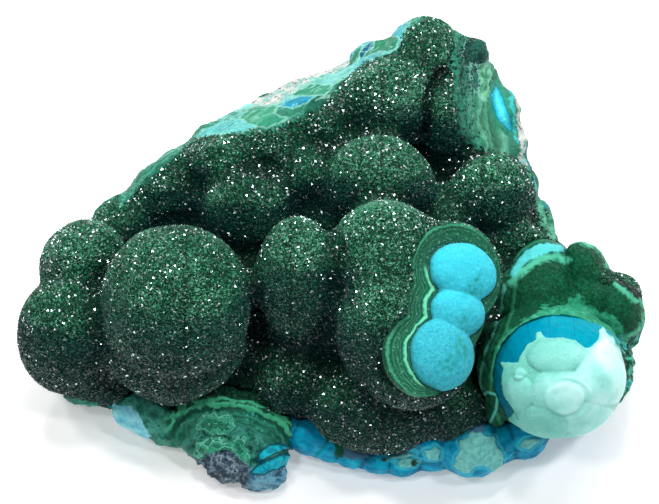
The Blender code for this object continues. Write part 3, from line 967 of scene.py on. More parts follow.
bright_tree = scatter_tree("bright", crystal, spacing=0.38, low_size=0.55, high_size=1.2, sink=-0.04, seed=23)
sparkle_share = 0.2 + 0.32 * step(rough(points, 5.0, 2, seed=31), -0.15, 0.35)
sparkle_share += 0.45 * near_spots(spots, COARSE_SPOTS)
sparkle_share *= 1 - 0.75 * np.maximum(flank, front_flank(normals, -0.45, -0.1))
bright = scatter("bright_crystals", stone, druse_share * (1 - hidden) * sparkle_share, bright_tree)

# %% [markdown]
# ## Finish of the druse
# Each grain is a little lighter or darker than the next. The hollows between the lobes, the groove and the
# shaded edge are painted darkest and the crowns a little lighter, and the front flanks darker and bluer, all
# as painted shade and light. A glossy dark green with a tone per crystal gives the grain, where one flat
# green would look like paint. The brightest faces act as small mirrors, so they are metal-like.

# %% Material of the druse
glitter = Finish("malachite_druse", roughness=0.2, ior=1.7, gloss=0.22)
tone = glitter.marked("tone")
# Painted shade and light: the hollows, the groove and the shaded edge come out darker, and the crowns a
# little lighter.
hollow_shade = glitter.math("MINIMUM", glitter.times(glitter.marked("hollow"), -0.42), 0.17)
shade = glitter.plus(
    glitter.math("MULTIPLY_ADD", tone, 0.65, 0.1), glitter.math("MAXIMUM", hollow_shade, -0.45),
    glitter.between(glitter.noise(7.0, 2), 0.35, 0.65, -0.12, 0.12),
    glitter.times(glitter.marked("pale"), 0.25),
)
glitter.tint = glitter.ramp(
    shade, (0.0, 4, 30, 23), (0.35, 14, 63, 46), (0.6, 26, 90, 64), (0.82, 42, 118, 86), (1.0, 82, 156, 122)
)
# Painted shade: the front and low flanks are darker and bluer.
glitter.lay((3, 38, 52), glitter.marked("flank"), 0.6)
druse_material = glitter.paint(glitter.between(tone, 0, 1, 0.34, 0.14))

mirror = Finish("bright_crystal_faces", roughness=0.3)
mirror.shader.inputs["Metallic"].default_value = 1.0
mirror.tint = mirror.ramp(mirror.marked("tone"), (0.0, 170, 196, 194), (1.0, 226, 236, 240))
for piece in druse_pieces:
    finish_piece(piece, druse_material)
finish_piece(bright, mirror.paint(mirror.between(mirror.marked("tone"), 0, 1, 0.24, 0.36)))

# %% [markdown]
# ## The window
# One lobe is broken open. The break shows the layers that the lobe grew in, one inside the
# other, as on a cut onion, and three round lobes of turquoise chrysocolla in the middle. The
# layers follow both outlines, so each point of the plate knows how far it is from the inner
# one as a share of the way to the outer one, and the bands are colours along that share. The
# plate is grown from four flat cylinders, because a remesh gives it a clean round rim.

# %% The window's plate
round_plates = []
for x, y, radius in WINDOW_ROUNDS:
    bpy.ops.mesh.primitive_cylinder_add(
        vertices=160, radius=radius * MM, depth=1.3 * MM, location=place((x, y, -0.55))
    )
    round_plates.append(keep_place())
plate = grow_together("banded_window", round_plates, 0.17, smoothing=3)
flat = points_of(plate)
wavy = shaken(flat, flat, 2.4, 0.22, (4, 5, 6))
inner, outer = np.maximum(turquoise_edge(wavy), 0), np.maximum(-rounds_gap(wavy, WINDOW_ROUNDS), 0)
band_share = inner / (inner + outer + 1e-6)
left_share = step(-flat[:, 0] + 0.06 * flat[:, 1], 0.3, 2.2) * step(-flat[:, 1], -5.5, -3.5)
relief = 0.28 * bell(band_share, 0.2, 0.08) * left_share
relief += 0.1 * np.cos(band_share * 31) + 0.05 * rough(flat, 0.8, 3, seed=7)
flat[:, 2] += relief * step(flat[:, 2], -0.5, -0.1)
mark(plate, band_share=band_share, left_share=left_share)
move_points(plate, from_window(flat))
print("window points:", len(flat))

# %% Bands of the window
layers = Finish("window_bands", roughness=0.6, gloss=0.12)
share = layers.wander("band_share", 0.7, 0.025, 2)
left_bands = layers.ramp(
    share, (0.0, 12, 64, 56), (0.07, 22, 96, 78), (0.11, 10, 52, 42), (0.15, 110, 208, 170),
    (0.25, 96, 196, 156), (0.28, 36, 122, 92), (0.32, 12, 66, 50), (0.4, 34, 116, 86), (0.46, 14, 70, 52),
    (0.54, 50, 134, 100), (0.6, 16, 74, 54), (0.7, 36, 112, 82), (0.78, 14, 66, 50), (0.92, 56, 148, 112),
    (0.98, 20, 76, 58),
)
right_bands = layers.ramp(
    share, (0.0, 10, 52, 44), (0.16, 24, 96, 74), (0.24, 14, 62, 48), (0.36, 34, 108, 80),
    (0.44, 16, 72, 54), (0.55, 28, 100, 72), (0.62, 12, 60, 44), (0.74, 32, 108, 78), (0.8, 16, 68, 50),
    (0.92, 52, 142, 108), (0.98, 20, 76, 58),
)
layers.tint = layers.mix(layers.marked("left_share"), right_bands, left_bands)
layers.lay((120, 190, 160), layers.between(layers.noise(0.35, 2), 0.58, 0.7), 0.5)
layers.bump(layers.noise(0.4, 4, 0.7), 0.12)
finish_piece(plate, layers.paint())

# %% [markdown]
# ## Turquoise lobes
# The three lobes are soft-looking chrysocolla, like felt, with greenish smudges. They sit in one another, so
# they are joined and remeshed, which leaves a clean crease between them. A little sheen gives the felt. The
# blue is painted darker towards the bottom and at the low edge, as painted shade.

# %% Turquoise lobes in the window
SMUDGES = ((3.9, 3.3, 1.5), (2.6, -3.0, 1.1), (2.2, -7.2, 1.6), (0.6, -10.2, 1.4))
round_ones = [add_even_ball((x, y, 0.1, *sizes), 5) for x, y, *sizes in TURQUOISE_LOBES]
velvet = grow_together("turquoise_lobes", round_ones, 0.2, smoothing=2)
flat = points_of(velvet)
mark(velvet, lobe_up=flat[:, 1], lobe_high=flat[:, 2], smudge_mm=rounds_gap(flat, SMUDGES))
move_points(velvet, from_window(flat))
fuzzy = points_of(velvet)
fuzz = 0.14 * rough(fuzzy, 2.6, 2, seed=2) + 0.07 * rough(fuzzy, 0.55, 3, seed=9)
move_points(velvet, fuzzy + read(velvet, "normal") * fuzz[:, None])

cyan = Finish("turquoise_velvet", roughness=0.85, gloss=0.1)
for name, value in (("Sheen Weight", 0.15), ("Sheen Roughness", 0.5), ("Sheen Tint", (170, 250, 250))):
    cyan.put(value, cyan.shader.inputs[name])
# Painted shade: the blue grows darker towards the bottom of the lobes, away from the light above.
cyan.tint = cyan.mix(cyan.between(cyan.marked("lobe_up"), -5.5, 2.0), (30, 152, 172), (36, 186, 208))
cyan.lay((96, 214, 226), cyan.between(cyan.noise(0.4, 4, 0.7), 0.35, 0.65), 0.45)
cyan.lay((26, 136, 158), cyan.between(cyan.noise(1.1, 3), 0.55, 0.75), 0.35)
smudge = cyan.between(cyan.wander("smudge_mm", 1.2, 0.9), 0.6, -0.6)
cyan.lay((28, 138, 122), cyan.times(smudge, cyan.between(cyan.noise(0.8, 4), 0.42, 0.6)), 0.75)
# Painted shade: the low edge of the lobes is darker.
cyan.lay((14, 100, 108), cyan.between(cyan.marked("lobe_high"), 0.9, 0.1), 0.6)
cyan.bump(cyan.noise(0.3, 4, 0.7), 0.12)
finish_piece(velvet, cyan.paint())

# %% [markdown]
# ## The pale ball
# At the front stands a ball of blue chrysocolla whose top wears a pale mint skin. The skin is
# a layer of its own with a jagged edge, swollen into low bubbles that meet in creases, with
# one flat round disc and one small knob. A fine ball is used, and each point is lifted by how
# far it lies inside the skin's outline and by the highest bubble over it.

# %% Ball
SKIN_OUTLINE = (
    (27.3, -11.8), (27.0, -10.6), (29.7, -10.6), (30.9, -8.3), (32.5, -6.9), (32.6, -5.9), (33.3, -5.8),
    (34.1, -6.7), (36.4, -6.7), (38.8, -7.1), (40.5, -8.3), (41.6, -8.0), (42.4, -7.2), (42.7, -5.5),
    (43.0, -5.0), (43.7, -6.6), (44.4, -6.9), (45.0, -8.0), (45.9, -9.0), (46.6, -11.0), (48.5, -12.5),
    (48.5, -17.0), (44.5, -21.6), (39.6, -23.0), (36.4, -23.9), (33.2, -23.2), (30.0, -21.7),
    (28.2, -19.7), (29.1, -18.4), (28.5, -17.5), (27.6, -15.8), (27.2, -14.2),
)
BUBBLES = (  # across, up, half across, half up, height
    (35.9, -9.6, 4.8, 3.0, 0.75), (42.9, -13.2, 4.4, 4.4, 0.8), (29.9, -15.6, 2.5, 2.9, 0.65),
    (33.3, -20.2, 4.6, 3.0, 0.8), (40.9, -19.6, 4.4, 2.9, 0.65), (43.6, -8.6, 3.0, 2.2, 0.6),
    (36.2, -15.4, 4.4, 4.0, 0.7),
)
DISC = (37.1, -16.1, 2.9, 2.3)
KNOB = (30.2, -12.5, 0.95)
BLUE_CRACKS = (
    ((30.7, -3.6), (31.2, -4.6), (31.5, -6.3)), ((34.6, -3.0), (34.9, -6.4)), ((38.6, -2.6), (38.8, -6.6)),
)
SKIN_CRACK = ((28.8, -17.9), (29.5, -18.6), (30.1, -19.3))


def dome(share):
    """1 in the middle of a round and 0 on its edge, round like a ball."""
    return np.sqrt(np.clip(1 - share**2, 0, 1))


ball = add_even_ball(PALE_BALL, 7)
ball.name = ball.data.name = "pale_ball"
points, normals, spots, front = survey(ball)
across, up = spots.T
ragged = shaken(spots, points, 1.3, 0.22, (1, 2))
skin_gap = outline_gap(ragged, SKIN_OUTLINE)
skin_gap = np.where(front > 0, skin_gap, np.maximum(skin_gap, 2 - 6 * (front + 0.35)))
edge = step(-skin_gap, -0.1, 0.22)
around = [round_share(spots, *bubble[:4]) for bubble in BUBBLES]
swollen = [bubble[4] * dome(share) for bubble, share in zip(BUBBLES, around)]
relief = np.max(swollen, axis=0) * step(-skin_gap, -0.1, 1.6)
disc_gap = (round_share(spots, *DISC) - 1) * DISC[3]
relief += 0.3 * step(-disc_gap, -0.15, 0.15) - 0.12 * step(-disc_gap, 0.2, 1.4)
relief += 0.16 * bell(disc_gap, 0.75, 0.22) * step(across - DISC[0], -1.0, 0.5)
relief += 0.55 * dome(np.hypot(across - KNOB[0], up - KNOB[1]) / KNOB[2])
crack_gap = line_gap(spots, SKIN_CRACK)
relief -= 0.25 * bell(crack_gap, 0, 0.14) * edge
round_angle = np.degrees(np.arctan2(up + 12.5, across - 36.0))
shoulder = bell(round_angle, 32, 15) * step(-front, -0.75, -0.35)
lift = 0.7 * shoulder * (1 - edge) + 0.3 * edge + relief * edge * step(front, 0.0, 0.45)
lift += 0.05 * rough(points, 1.6, 3, seed=5) + 0.1 * rough(points, 5.0, 2, seed=6)
lift += (1 - edge) * 0.12 * rough(points, 1.8, 3, seed=8) - 0.12
move_points(ball, points + normals * (lift * step(front, -0.5, 0.1))[:, None])
# Paleness holds painted light as well as the skin's own colour: the skin grows lighter towards the right and
# the upper right, where the light falls.
paleness = 0.52 + 0.42 * (across - 36.5) / 9 + 0.2 * step(-disc_gap, -0.2, 0.2)
paleness += 0.13 * step(across + 0.5 * up, 35.5, 38) - 0.25 * near_spots(spots, [(42.9, -13.4, 1.9)])
paleness -= 0.35 * step(-around[0], -1.1, -0.8) + 0.3 * step(-around[3], -1.1, -0.8)
paleness += 0.22 * rough(points, 2.2, 4, seed=9)
mark(
    ball, skin_mm=skin_gap, crack_mm=crack_gap, shoulder=shoulder, relief_mm=relief, paleness=paleness,
    up_mm=up, side_mm=across, blue_crack_mm=nearest(line_gap, 0.7 * spots + 0.3 * ragged, BLUE_CRACKS),
)
bpy.ops.object.shade_smooth()
print("ball points:", len(points))

# %% [markdown]
# ## Finish of the ball
# The bare ball is a deep, dull blue, painted lighter towards the upper right as painted light. The skin goes
# from sea green at the left to almost white at the right, partly as painted light from that side, with small
# green dots and pale dust. Its creases are painted darker and its bubble tops lighter, as painted shade and
# light. Both colours are made on their own and then parted by the marked distance to the skin's edge, so the
# jagged colour edge falls exactly on the raised one.

# %% Material of the ball
mint = Finish("mint_skin", roughness=0.45, gloss=0.03)
# Painted light: the bare blue is lighter towards the upper right, where the light falls.
blue_lit_share = mint.between(mint.plus(mint.marked("up_mm"), mint.marked("side_mm")), 10.0, 32.0)
mint.tint = mint.ramp(
    blue_lit_share, (0.0, 0, 100, 120), (0.45, 0, 118, 142), (0.8, 0, 132, 160), (1.0, 0, 144, 166)
)
mint.lay((0, 70, 90), mint.between(mint.marked("blue_crack_mm"), 0.14, 0.03, 0, 0.4))
mint.lay((0, 140, 146), mint.marked("shoulder"), 0.5)
mint.lay((0, 96, 120), mint.between(mint.noise(0.9, 4), 0.45, 0.75), 0.4)
blue = mint.tint
mint.tint = mint.ramp(
    mint.marked("paleness"), (0.0, 96, 178, 166), (0.35, 120, 196, 186), (0.65, 156, 222, 216),
    (1.0, 204, 244, 242),
)
# Painted light on the bubble tops, and painted shade in the creases between them.
mint.lay((158, 230, 218), mint.between(mint.marked("relief_mm"), 0.12, 0.6), 0.2)
mint.lay((92, 182, 160), mint.between(mint.marked("relief_mm"), 0.3, 0.02), 0.5)
dots = mint.times(mint.between(mint.cells(0.8), 0.16, 0.1), mint.between(mint.noise(3.0, 2), 0.5, 0.6))
mint.lay((60, 150, 124), dots, 0.6)
mint.lay((200, 242, 234), mint.between(mint.noise(0.35, 3), 0.5, 0.75), 0.2)
mint.lay((30, 130, 90), "crack_mm", edge=0.16)
mint.tint = mint.mix(mint.between(mint.marked("skin_mm"), 0.07, -0.07), blue, mint.tint)
mint.bump(mint.noise(0.5, 4, 0.6), 0.05)
finish_piece(ball, mint.paint(mint.mottled(1.4, 0.34, 0.5)))

# %% [markdown]
# ## The collar
# A thick collar of velvety malachite wraps the back and the left of the ball. It is grown from
# the same lobes as in the solid, with a finer cell. A light green seam runs where it meets the
# ball, and its outer rim is broken, so the layers show as a cyan crescent and pale lines. The
# rim, the groove and the dark pits are raised or sunk a little as well as coloured, so that
# they catch the light from every side.

# %% Outlines on the collar
CRESCENT = (
    (28.4, 3.1), (29.1, 4.7), (30.5, 6.5), (32.5, 7.9), (34.4, 8.3), (36.4, 8.0), (37.5, 7.4), (36.8, 6.8),
    (34.8, 6.7), (33.3, 6.3), (31.3, 5.3), (29.9, 3.9), (29.1, 2.7),
)
PALE_BAND = ((28.6, 1.9), (29.8, 3.2), (31.6, 4.7), (33.6, 5.8), (36.0, 6.2), (37.6, 5.4))
SEAM = (
    (25.4, -13.4), (26.4, -8.2), (28.5, -5.1), (31.7, -3.4), (34.0, -1.6), (36.4, -1.8), (38.4, -0.4),
    (39.6, 0.4), (40.4, -1.2), (42.3, -2.2), (44.7, -3.0), (46.3, -5.1), (46.3, -9.0), (42.0, -9.0),
    (36.0, -9.0), (29.0, -11.0), (26.8, -15.0),
)
RIM = (
    (37.5, 7.9), (39.1, 8.4), (42.2, 7.6), (43.8, 5.5), (44.0, 3.5), (45.1, 1.6), (46.9, 0.3),
    (47.7, -0.8), (49.0, -1.1), (49.8, -2.4), (49.7, -3.7), (48.8, -5.3), (46.9, -6.8),
)
DARK_BITS = (
    (43.6, 5.5), (45.5, 5.9), (46.6, 4.5), (48.2, 4.2), (50.5, 3.6), (53.2, 0.6), (53.5, -3.2),
    (50.6, -3.0), (49.6, -0.9), (47.9, -0.3), (46.7, 0.8), (44.8, 2.3), (44.1, 3.6),
)
FLAKE = (
    (23.7, -16.0), (25.0, -15.4), (26.6, -15.8), (26.3, -18.2), (25.3, -20.3), (23.7, -20.3),
    (24.3, -17.9),
)
COLLAR_GROOVE = ((37.2, 7.7), (37.5, 4.3), (38.5, 1.5), (39.4, 0.4))
LEFT_RIM = (
    (27.6, 1.6), (27.2, -2.0), (26.2, -5.2), (24.6, -9.0), (23.8, -13.0), (24.0, -17.4), (25.4, -21.0),
)
BEYOND_LINE = ((27, 30, 33, 37, 38), (2.5, 5.6, 7.2, 7.6, 12))  # the far side of the crescent
print("collar lobes:", len(COLLAR_LOBES))


# %% Collar
def behind(points, lobe, looking, gap):
    """Moves points that lie before a lobe's near side, seen along looking, to behind it."""
    near = (points - lobe[:3]) / lobe[3:]
    ray = np.array(looking) / lobe[3:]
    middle = near @ ray
    reach = middle**2 - (ray @ ray) * ((near**2).sum(axis=1) - 1)
    before = np.where(reach > 0, (-middle + np.sqrt(np.maximum(reach, 0))) / (ray @ ray) - gap, 0)
    return points + np.minimum(before, 0)[:, None] * looking


collar = grow_together("collar", add_lobes(COLLAR_LOBES, 64), 0.3, smoothing=5)
points, normals, spots, facing = survey(collar)
across, up = spots.T
turned_away = 9 * (facing < -0.2)
rim_gap = line_gap(spots, RIM) + turned_away
bits_gap = outline_gap(spots, DARK_BITS)
edge_share = step(across, 44.5, 46.0) * step(-up, 5.5, 7.0)
lumps = 0.3 * rough(points, 3.6, 3, seed=12) + 0.08 * rough(points, 0.8, 3, seed=13)
lumps += 0.45 * np.abs(rough(points, 1.6, 3, seed=14)) * step(-bits_gap, -0.2, 0.3)
lumps += 0.6 * rough(points, 1.5, 3, seed=15) * edge_share
lumps += 0.22 * bell(rim_gap, 0, 0.5) - 0.2 * bell(line_gap(spots, PALE_BAND), 0.9, 0.3)
lumps += 0.25 * step(-outline_gap(spots, CRESCENT), -0.2, 0.2)
left_lumps = np.abs(rough(points, 2.0, 3, seed=18)) * step(-up, 3, 6) * (across < 29)
lumps -= 0.5 * bell(line_gap(spots, COLLAR_GROOVE), 0, 0.4) + 0.5 * left_lumps
inner_ball = (*PALE_BALL[:3], *(np.array(PALE_BALL[3:]) - 0.5))
points = behind(points + normals * lumps[:, None], inner_ball, tuple(backwards), 1.2)
settle(collar, points, lowest=1.0)
soften(collar, 3)

points = points_of(collar)
spots = seen(points)
ball_gap, seam_gap = outside(points, (PALE_BALL,)), outline_gap(spots, SEAM)
crescent_gap, band_gap = outline_gap(spots, CRESCENT), line_gap(spots, PALE_BAND)
left_gap = line_gap(spots, LEFT_RIM)
mark(
    collar, seam_mm=seam_gap, crescent_mm=crescent_gap, pale_mm=band_gap - 0.55, rim_mm=rim_gap - 0.32,
    bits_mm=bits_gap, groove_mm=line_gap(spots, COLLAR_GROOVE) - 0.15, edge_share=edge_share,
    flake_mm=outline_gap(spots, FLAKE) + turned_away, left_mm=left_gap + turned_away,
    beyond=step(spots[:, 1] - np.interp(spots[:, 0], *BEYOND_LINE), -0.2, 0.2),
)
print("collar points:", len(points))

# %% [markdown]
# ## Finish of the collar
# Velvety malachite is a mat of fine needles: dark green with lighter tips, and hardly any
# gloss. Fine noise in three greens gives the mat, and bump roughens it. Every seam, pit and
# strip is laid over it by its own marked outline, the widest first. The upper side wears the
# same crystals as the lobes, but fewer and smaller.

# %% Material of the collar
velvety = Finish("malachite_velvet", roughness=0.55, gloss=0.06)
needles = velvety.noise(0.45, 4, 0.7)
velvety.tint = velvety.ramp(needles, (0.3, 2, 44, 26), (0.5, 7, 72, 44), (0.68, 20, 108, 74))
velvety.lay((22, 60, 50), velvety.between(velvety.noise(4.0, 2), 0.35, 0.65), 0.4)
left_strip = velvety.ramp(
    velvety.between(velvety.wander("left_mm", 1.6, 0.3), 0.0, 3.0), (0.0, 84, 170, 150), (0.1, 20, 80, 60),
    (0.3, 22, 92, 62), (0.42, 12, 62, 42), (0.6, 44, 132, 92), (0.72, 14, 70, 50), (0.9, 26, 100, 72),
)
velvety.lay(left_strip, velvety.between(velvety.marked("left_mm"), 2.6, 2.2))
streaks = velvety.noise(1.0, 4, 0.65)
streaks = velvety.ramp(streaks, (0.3, 24, 112, 80), (0.5, 40, 140, 106), (0.7, 72, 172, 138))
velvety.lay(streaks, "seam_mm", edge=0.25, wander=0.7, size=1.6)
velvety.lay((76, 178, 146), "pale_mm", edge=0.3, wander=0.3)
outside_rings = velvety.ramp(
    velvety.between(velvety.marked("crescent_mm"), 0.0, 2.4), (0.0, 10, 56, 44), (0.2, 40, 124, 92),
    (0.35, 12, 62, 46), (0.55, 30, 104, 76), (0.7, 10, 56, 40), (0.9, 24, 88, 64),
)
close_by = velvety.between(velvety.marked("crescent_mm"), 2.2, 1.9)
velvety.lay(outside_rings, velvety.times(close_by, velvety.marked("beyond")))
velvety.lay((84, 200, 200), "crescent_mm", edge=0.15, wander=0.2)
ragged = velvety.ramp(
    velvety.noise(1.5, 3), (0.38, 8, 46, 38), (0.5, 30, 110, 86), (0.56, 96, 196, 170), (0.62, 30, 150, 160)
)
velvety.lay(ragged, velvety.marked("edge_share"))
velvety.lay((2, 36, 26), "groove_mm", edge=0.25, wander=0.1)
velvety.lay((4, 30, 26), "bits_mm", edge=0.15, wander=0.2)
velvety.lay((74, 172, 138), "rim_mm", edge=0.2, wander=0.25)
velvety.lay((12, 74, 50), "flake_mm", edge=0.1)
velvety.lay((90, 196, 180), velvety.line(velvety.marked("flake_mm"), 0.3, 0.15, 0.8))
velvety.bump(velvety.noise(0.35, 5, 0.7), 0.2)
dullness = velvety.between(velvety.noise(0.5, 2), 0.4, 0.6, 0.3, 0.7)
finish_piece(collar, velvety.paint(dullness))

# %% Grains on the collar
rim_gap = line_gap(spots, RIM)
grainy = (ball_gap > 2.0) & (seam_gap > 0.3) & (crescent_gap > 0.4) & (band_gap > 0.9)
grainy &= (rim_gap > 0.6) & (left_gap > 2.2) & (points[:, 2] > 7)
grainy = np.maximum(0.5 * grainy, (bits_gap < 0.1) & (rim_gap > 0.55))
collar_tree = scatter_tree(
    "collar_druse", crystal, spacing=0.3, low_size=0.3, high_size=0.75, sink=0.06, seed=31
)
finish_piece(scatter("collar_grains", collar, grainy, collar_tree), druse_material)

# %% [markdown]
# ## The blue crust
# Under the ball and along the front foot hangs a crust of deep blue chrysocolla in rounds, one
# layer over another. The pale skin is left on it in a few star-shaped patches, which stand a
# little proud, and a few small grey, green and brown bits show in it. The rounds are grown
# from lobes, and where two lobes are equally near, the crust is marked as a crease.

# %% Outlines on the crust
PATCHES = {
    "large": (
        (20.3, -23.0), (21.1, -22.9), (21.8, -22.4), (22.4, -21.5), (23.9, -21.7), (24.8, -22.2),
        (26.1, -22.4), (26.5, -23.9), (27.5, -25.3), (27.4, -27.4), (25.8, -28.0), (25.0, -27.1),
        (23.0, -27.3), (21.9, -28.4), (20.6, -28.0), (19.6, -27.1), (19.9, -25.6), (20.7, -24.5),
    ),
    "left": ((14.9, -24.7), (16.3, -24.3), (16.7, -23.9), (17.5, -24.7), (17.3, -25.9), (15.5, -26.1)),
    "right": (
        (29.9, -23.9), (30.9, -22.8), (32.7, -22.7), (33.5, -22.9), (32.8, -23.6), (31.7, -24.5),
        (30.5, -24.3),
    ),
    "scale": ((9.2, -25.6), (11.6, -24.9), (13.4, -25.2), (12.0, -25.8), (9.6, -26.0)),
    "far_left": ((11.1, -26.1), (12.3, -25.9), (14.1, -26.3), (13.5, -27.1), (11.9, -27.3), (10.6, -27.0)),
}
CRUST_MARKS = {  # other minerals that show in the crust, as seen
    "grey_lump": ((1.3, -23.0), (3.4, -22.6), (7.0, -24.2), (6.6, -25.6), (3.6, -26.2), (1.6, -25.8)),
    "green_sliver": ((0.9, -22.9), (2.3, -22.8), (2.0, -25.9), (0.7, -25.6)),
    "small_lump": ((22.0, -20.0), (24.7, -19.8), (25.0, -21.2), (23.4, -21.9), (22.1, -21.3)),
    "brown_bit": ((8.3, -25.8), (9.0, -25.8), (9.0, -26.6), (8.3, -26.6)),
    "brown_fleck": ((12.8, -26.2), (13.8, -26.2), (13.8, -27.2), (12.8, -27.2)),
}
print("marks on the crust:", len(PATCHES) + len(CRUST_MARKS))

# %% Blue crust
crust = grow_together("blue_crust", add_lobes(BLUE_LOBES), 0.28, smoothing=3)
points, normals, spots, _ = survey(crust)
spots = shaken(spots, points, 0.9, 0.15, (14, 15))
patch_gap = nearest(outline_gap, spots, PATCHES.values())
nearness = np.sort([level(points, *lobe) for lobe in BLUE_LOBES], axis=0)
layering = np.abs(np.sin(rough(points, 4.5, 2, seed=17) * 5))
lumps = 0.15 * layering + 0.2 * rough(points, 2.0, 3, seed=16) - 0.3
lumps += 0.22 * step(-patch_gap, -0.1, 0.15)
settle(crust, points + normals * lumps[:, None], lowest=0.6)
mark(crust, patch_mm=patch_gap, layering=layering, crease=nearness[1] - nearness[0])
mark(crust, **{name: outline_gap(spots, outline) for name, outline in CRUST_MARKS.items()})
print("crust points:", len(points))

# %% Material of the crust
azure = Finish("blue_crust", roughness=0.5, gloss=0.08)
azure.tint = azure.ramp(azure.noise(2.4, 4), (0.3, 0, 108, 146), (0.5, 0, 148, 190), (0.66, 8, 184, 218))
azure.lay((30, 196, 216), azure.between(azure.marked("layering"), 0.35, 0.0, 0.0, 0.55))
WHITE, HALF, BLACK = ([grey] * 3 for grey in (255, 187.5, 0))
# Painted shade: the creases between the rounds are darker.
crease_shade = azure.ramp(azure.wander("crease", 1.2, 0.04), (0.0, *WHITE), (0.05, *HALF), (0.12, *BLACK))
azure.lay((0, 74, 92), crease_shade, 0.75)
speck = azure.between(azure.noise(0.4, 3), 0.5, 0.8)
azure.lay((30, 150, 190), speck, 0.3)
pale = azure.ramp(azure.noise(0.7, 4), (0.35, 92, 176, 174), (0.65, 128, 210, 202))
azure.lay(pale, "patch_mm", edge=0.08)
patch_rim = azure.math("SUBTRACT", azure.marked("patch_mm"), 0.35)
azure.lay((70, 200, 216), azure.line(patch_rim, 0.3, 0.1, 0.5))
for name, tint in (
    ("grey_lump", (70, 112, 142)), ("green_sliver", (18, 88, 62)), ("small_lump", (70, 116, 142)),
    ("brown_bit", (60, 74, 44)), ("brown_fleck", (30, 70, 44)),
):
    azure.lay(azure.mix(speck, tint, (40, 100, 120)), name, edge=0.15, wander=0.25)
azure.bump(azure.noise(0.5, 4), 0.12)
finish_piece(crust, azure.paint(azure.mottled(1.2, 0.38, 0.6)))

# %% [markdown]
# ## The front foot
# Left of the blue crust the front foot is a broken ledge. Malachite in arched bands wraps a
# lumpy green knot, a patch of sky blue shows at the left, and grey rock hangs below. They are
# one broken mass, so they are grown as one piece, and marked outlines part the minerals. The
# arched bands are small waves in the surface too, and the rock is craggy.

# %% Outlines on the foot
SKY = (
    (-34.4, -17.7), (-33.4, -17.2), (-31.0, -17.7), (-29.9, -19.7), (-28.3, -22.6), (-29.5, -24.2),
    (-31.5, -23.6), (-34.6, -21.5),
)
ARCH = (
    (-25.9, -21.2), (-24.7, -18.9), (-22.6, -17.4), (-19.4, -16.7), (-16.2, -16.5), (-13.1, -17.1),
    (-9.9, -18.3), (-7.3, -19.7), (-5.2, -22.3),
)
KNOTS = (
    (
        (-21.2, -21.2), (-20.9, -18.9), (-18.2, -18.0), (-15.4, -18.9), (-14.4, -20.9), (-15.8, -22.2),
        (-18.6, -22.4),
    ),
    (
        (-21.6, -25.2), (-21.2, -22.9), (-18.4, -22.3), (-13.4, -22.2), (-12.2, -24.4), (-12.6, -27.4),
        (-15.2, -26.9), (-16.2, -24.9), (-18.9, -25.0), (-20.8, -27.0),
    ),
)
GREY_ROCK = (
    (-21.2, -26.3), (-19.1, -25.0), (-16.2, -24.4), (-13.6, -26.1), (-12.6, -27.4), (-9.9, -27.1),
    (-5.0, -26.4), (-5.0, -32.0), (-14.0, -32.0), (-21.5, -29.5),
)
CYAN_LUMPS = (
    (
        (-11.5, -26.5), (-11.0, -24.8), (-9.6, -23.7), (-7.6, -23.5), (-5.4, -24.2), (-8.6, -25.1),
        (-10.2, -25.9),
    ),
    (
        (-12.6, -28.2), (-11.4, -26.9), (-9.6, -26.2), (-7.6, -25.4), (-5.3, -25.0), (-5.6, -26.4),
        (-8.4, -27.4), (-10.4, -28.4),
    ),
)
print("ledge and rock lobes:", len(LEDGE_LOBES) + len(ROCK_LOBES))

# %% Front ledges
foot = grow_together("front_foot", add_lobes(LEDGE_LOBES + ROCK_LOBES), 0.28, smoothing=3)
points, normals, spots, _ = survey(foot)
across, up = spots.T
arch_gap, sky_gap, rock_gap = line_gap(spots, ARCH), outline_gap(spots, SKY), outline_gap(spots, GREY_ROCK)
knot_gap, cyan_gap = nearest(outline_gap, spots, KNOTS), nearest(outline_gap, spots, CYAN_LUMPS)
arch_share = step(across, -27.0, -24.5) * step(-arch_gap, -4.5, -3.2)
craggy = 0.5 * rough(points, 3.0, 4, seed=21) + 0.3 * np.abs(rough(points, 1.2, 3, seed=22))
craggy += 0.9 * (0.5 - np.abs(rough(points, 3.4, 3, seed=23))) * step(-rock_gap, -0.5, 0.5)
lumps = craggy * (1 - step(-sky_gap, -1.4, -0.4))
lumps += 0.22 * np.sin(arch_gap * 4.2) * arch_share * (knot_gap > 0) * (rock_gap > 0)
lumps += 0.6 * step(-knot_gap, -0.3, 0.7) + 0.4 * step(-cyan_gap, -0.2, 0.5)
settle(foot, points + normals * (lumps - 0.35)[:, None], lowest=0.6)
over_arch = step(up - np.interp(across, *np.transpose(ARCH)), 0.4, 0.8) * step(across, -26, -24)
mark(
    foot, arch_mm=arch_gap, knot_mm=knot_gap, rock_gap_mm=rock_gap, cyan_mm=cyan_gap, sky_mm=sky_gap,
    arch_share=arch_share, over_arch=over_arch, fleck_mm=rounds_gap(spots, [(-12.3, -20.8, 2.6)]),
    left_rock=step(-across, 11.5, 13.5),
)
print("foot points:", len(points))

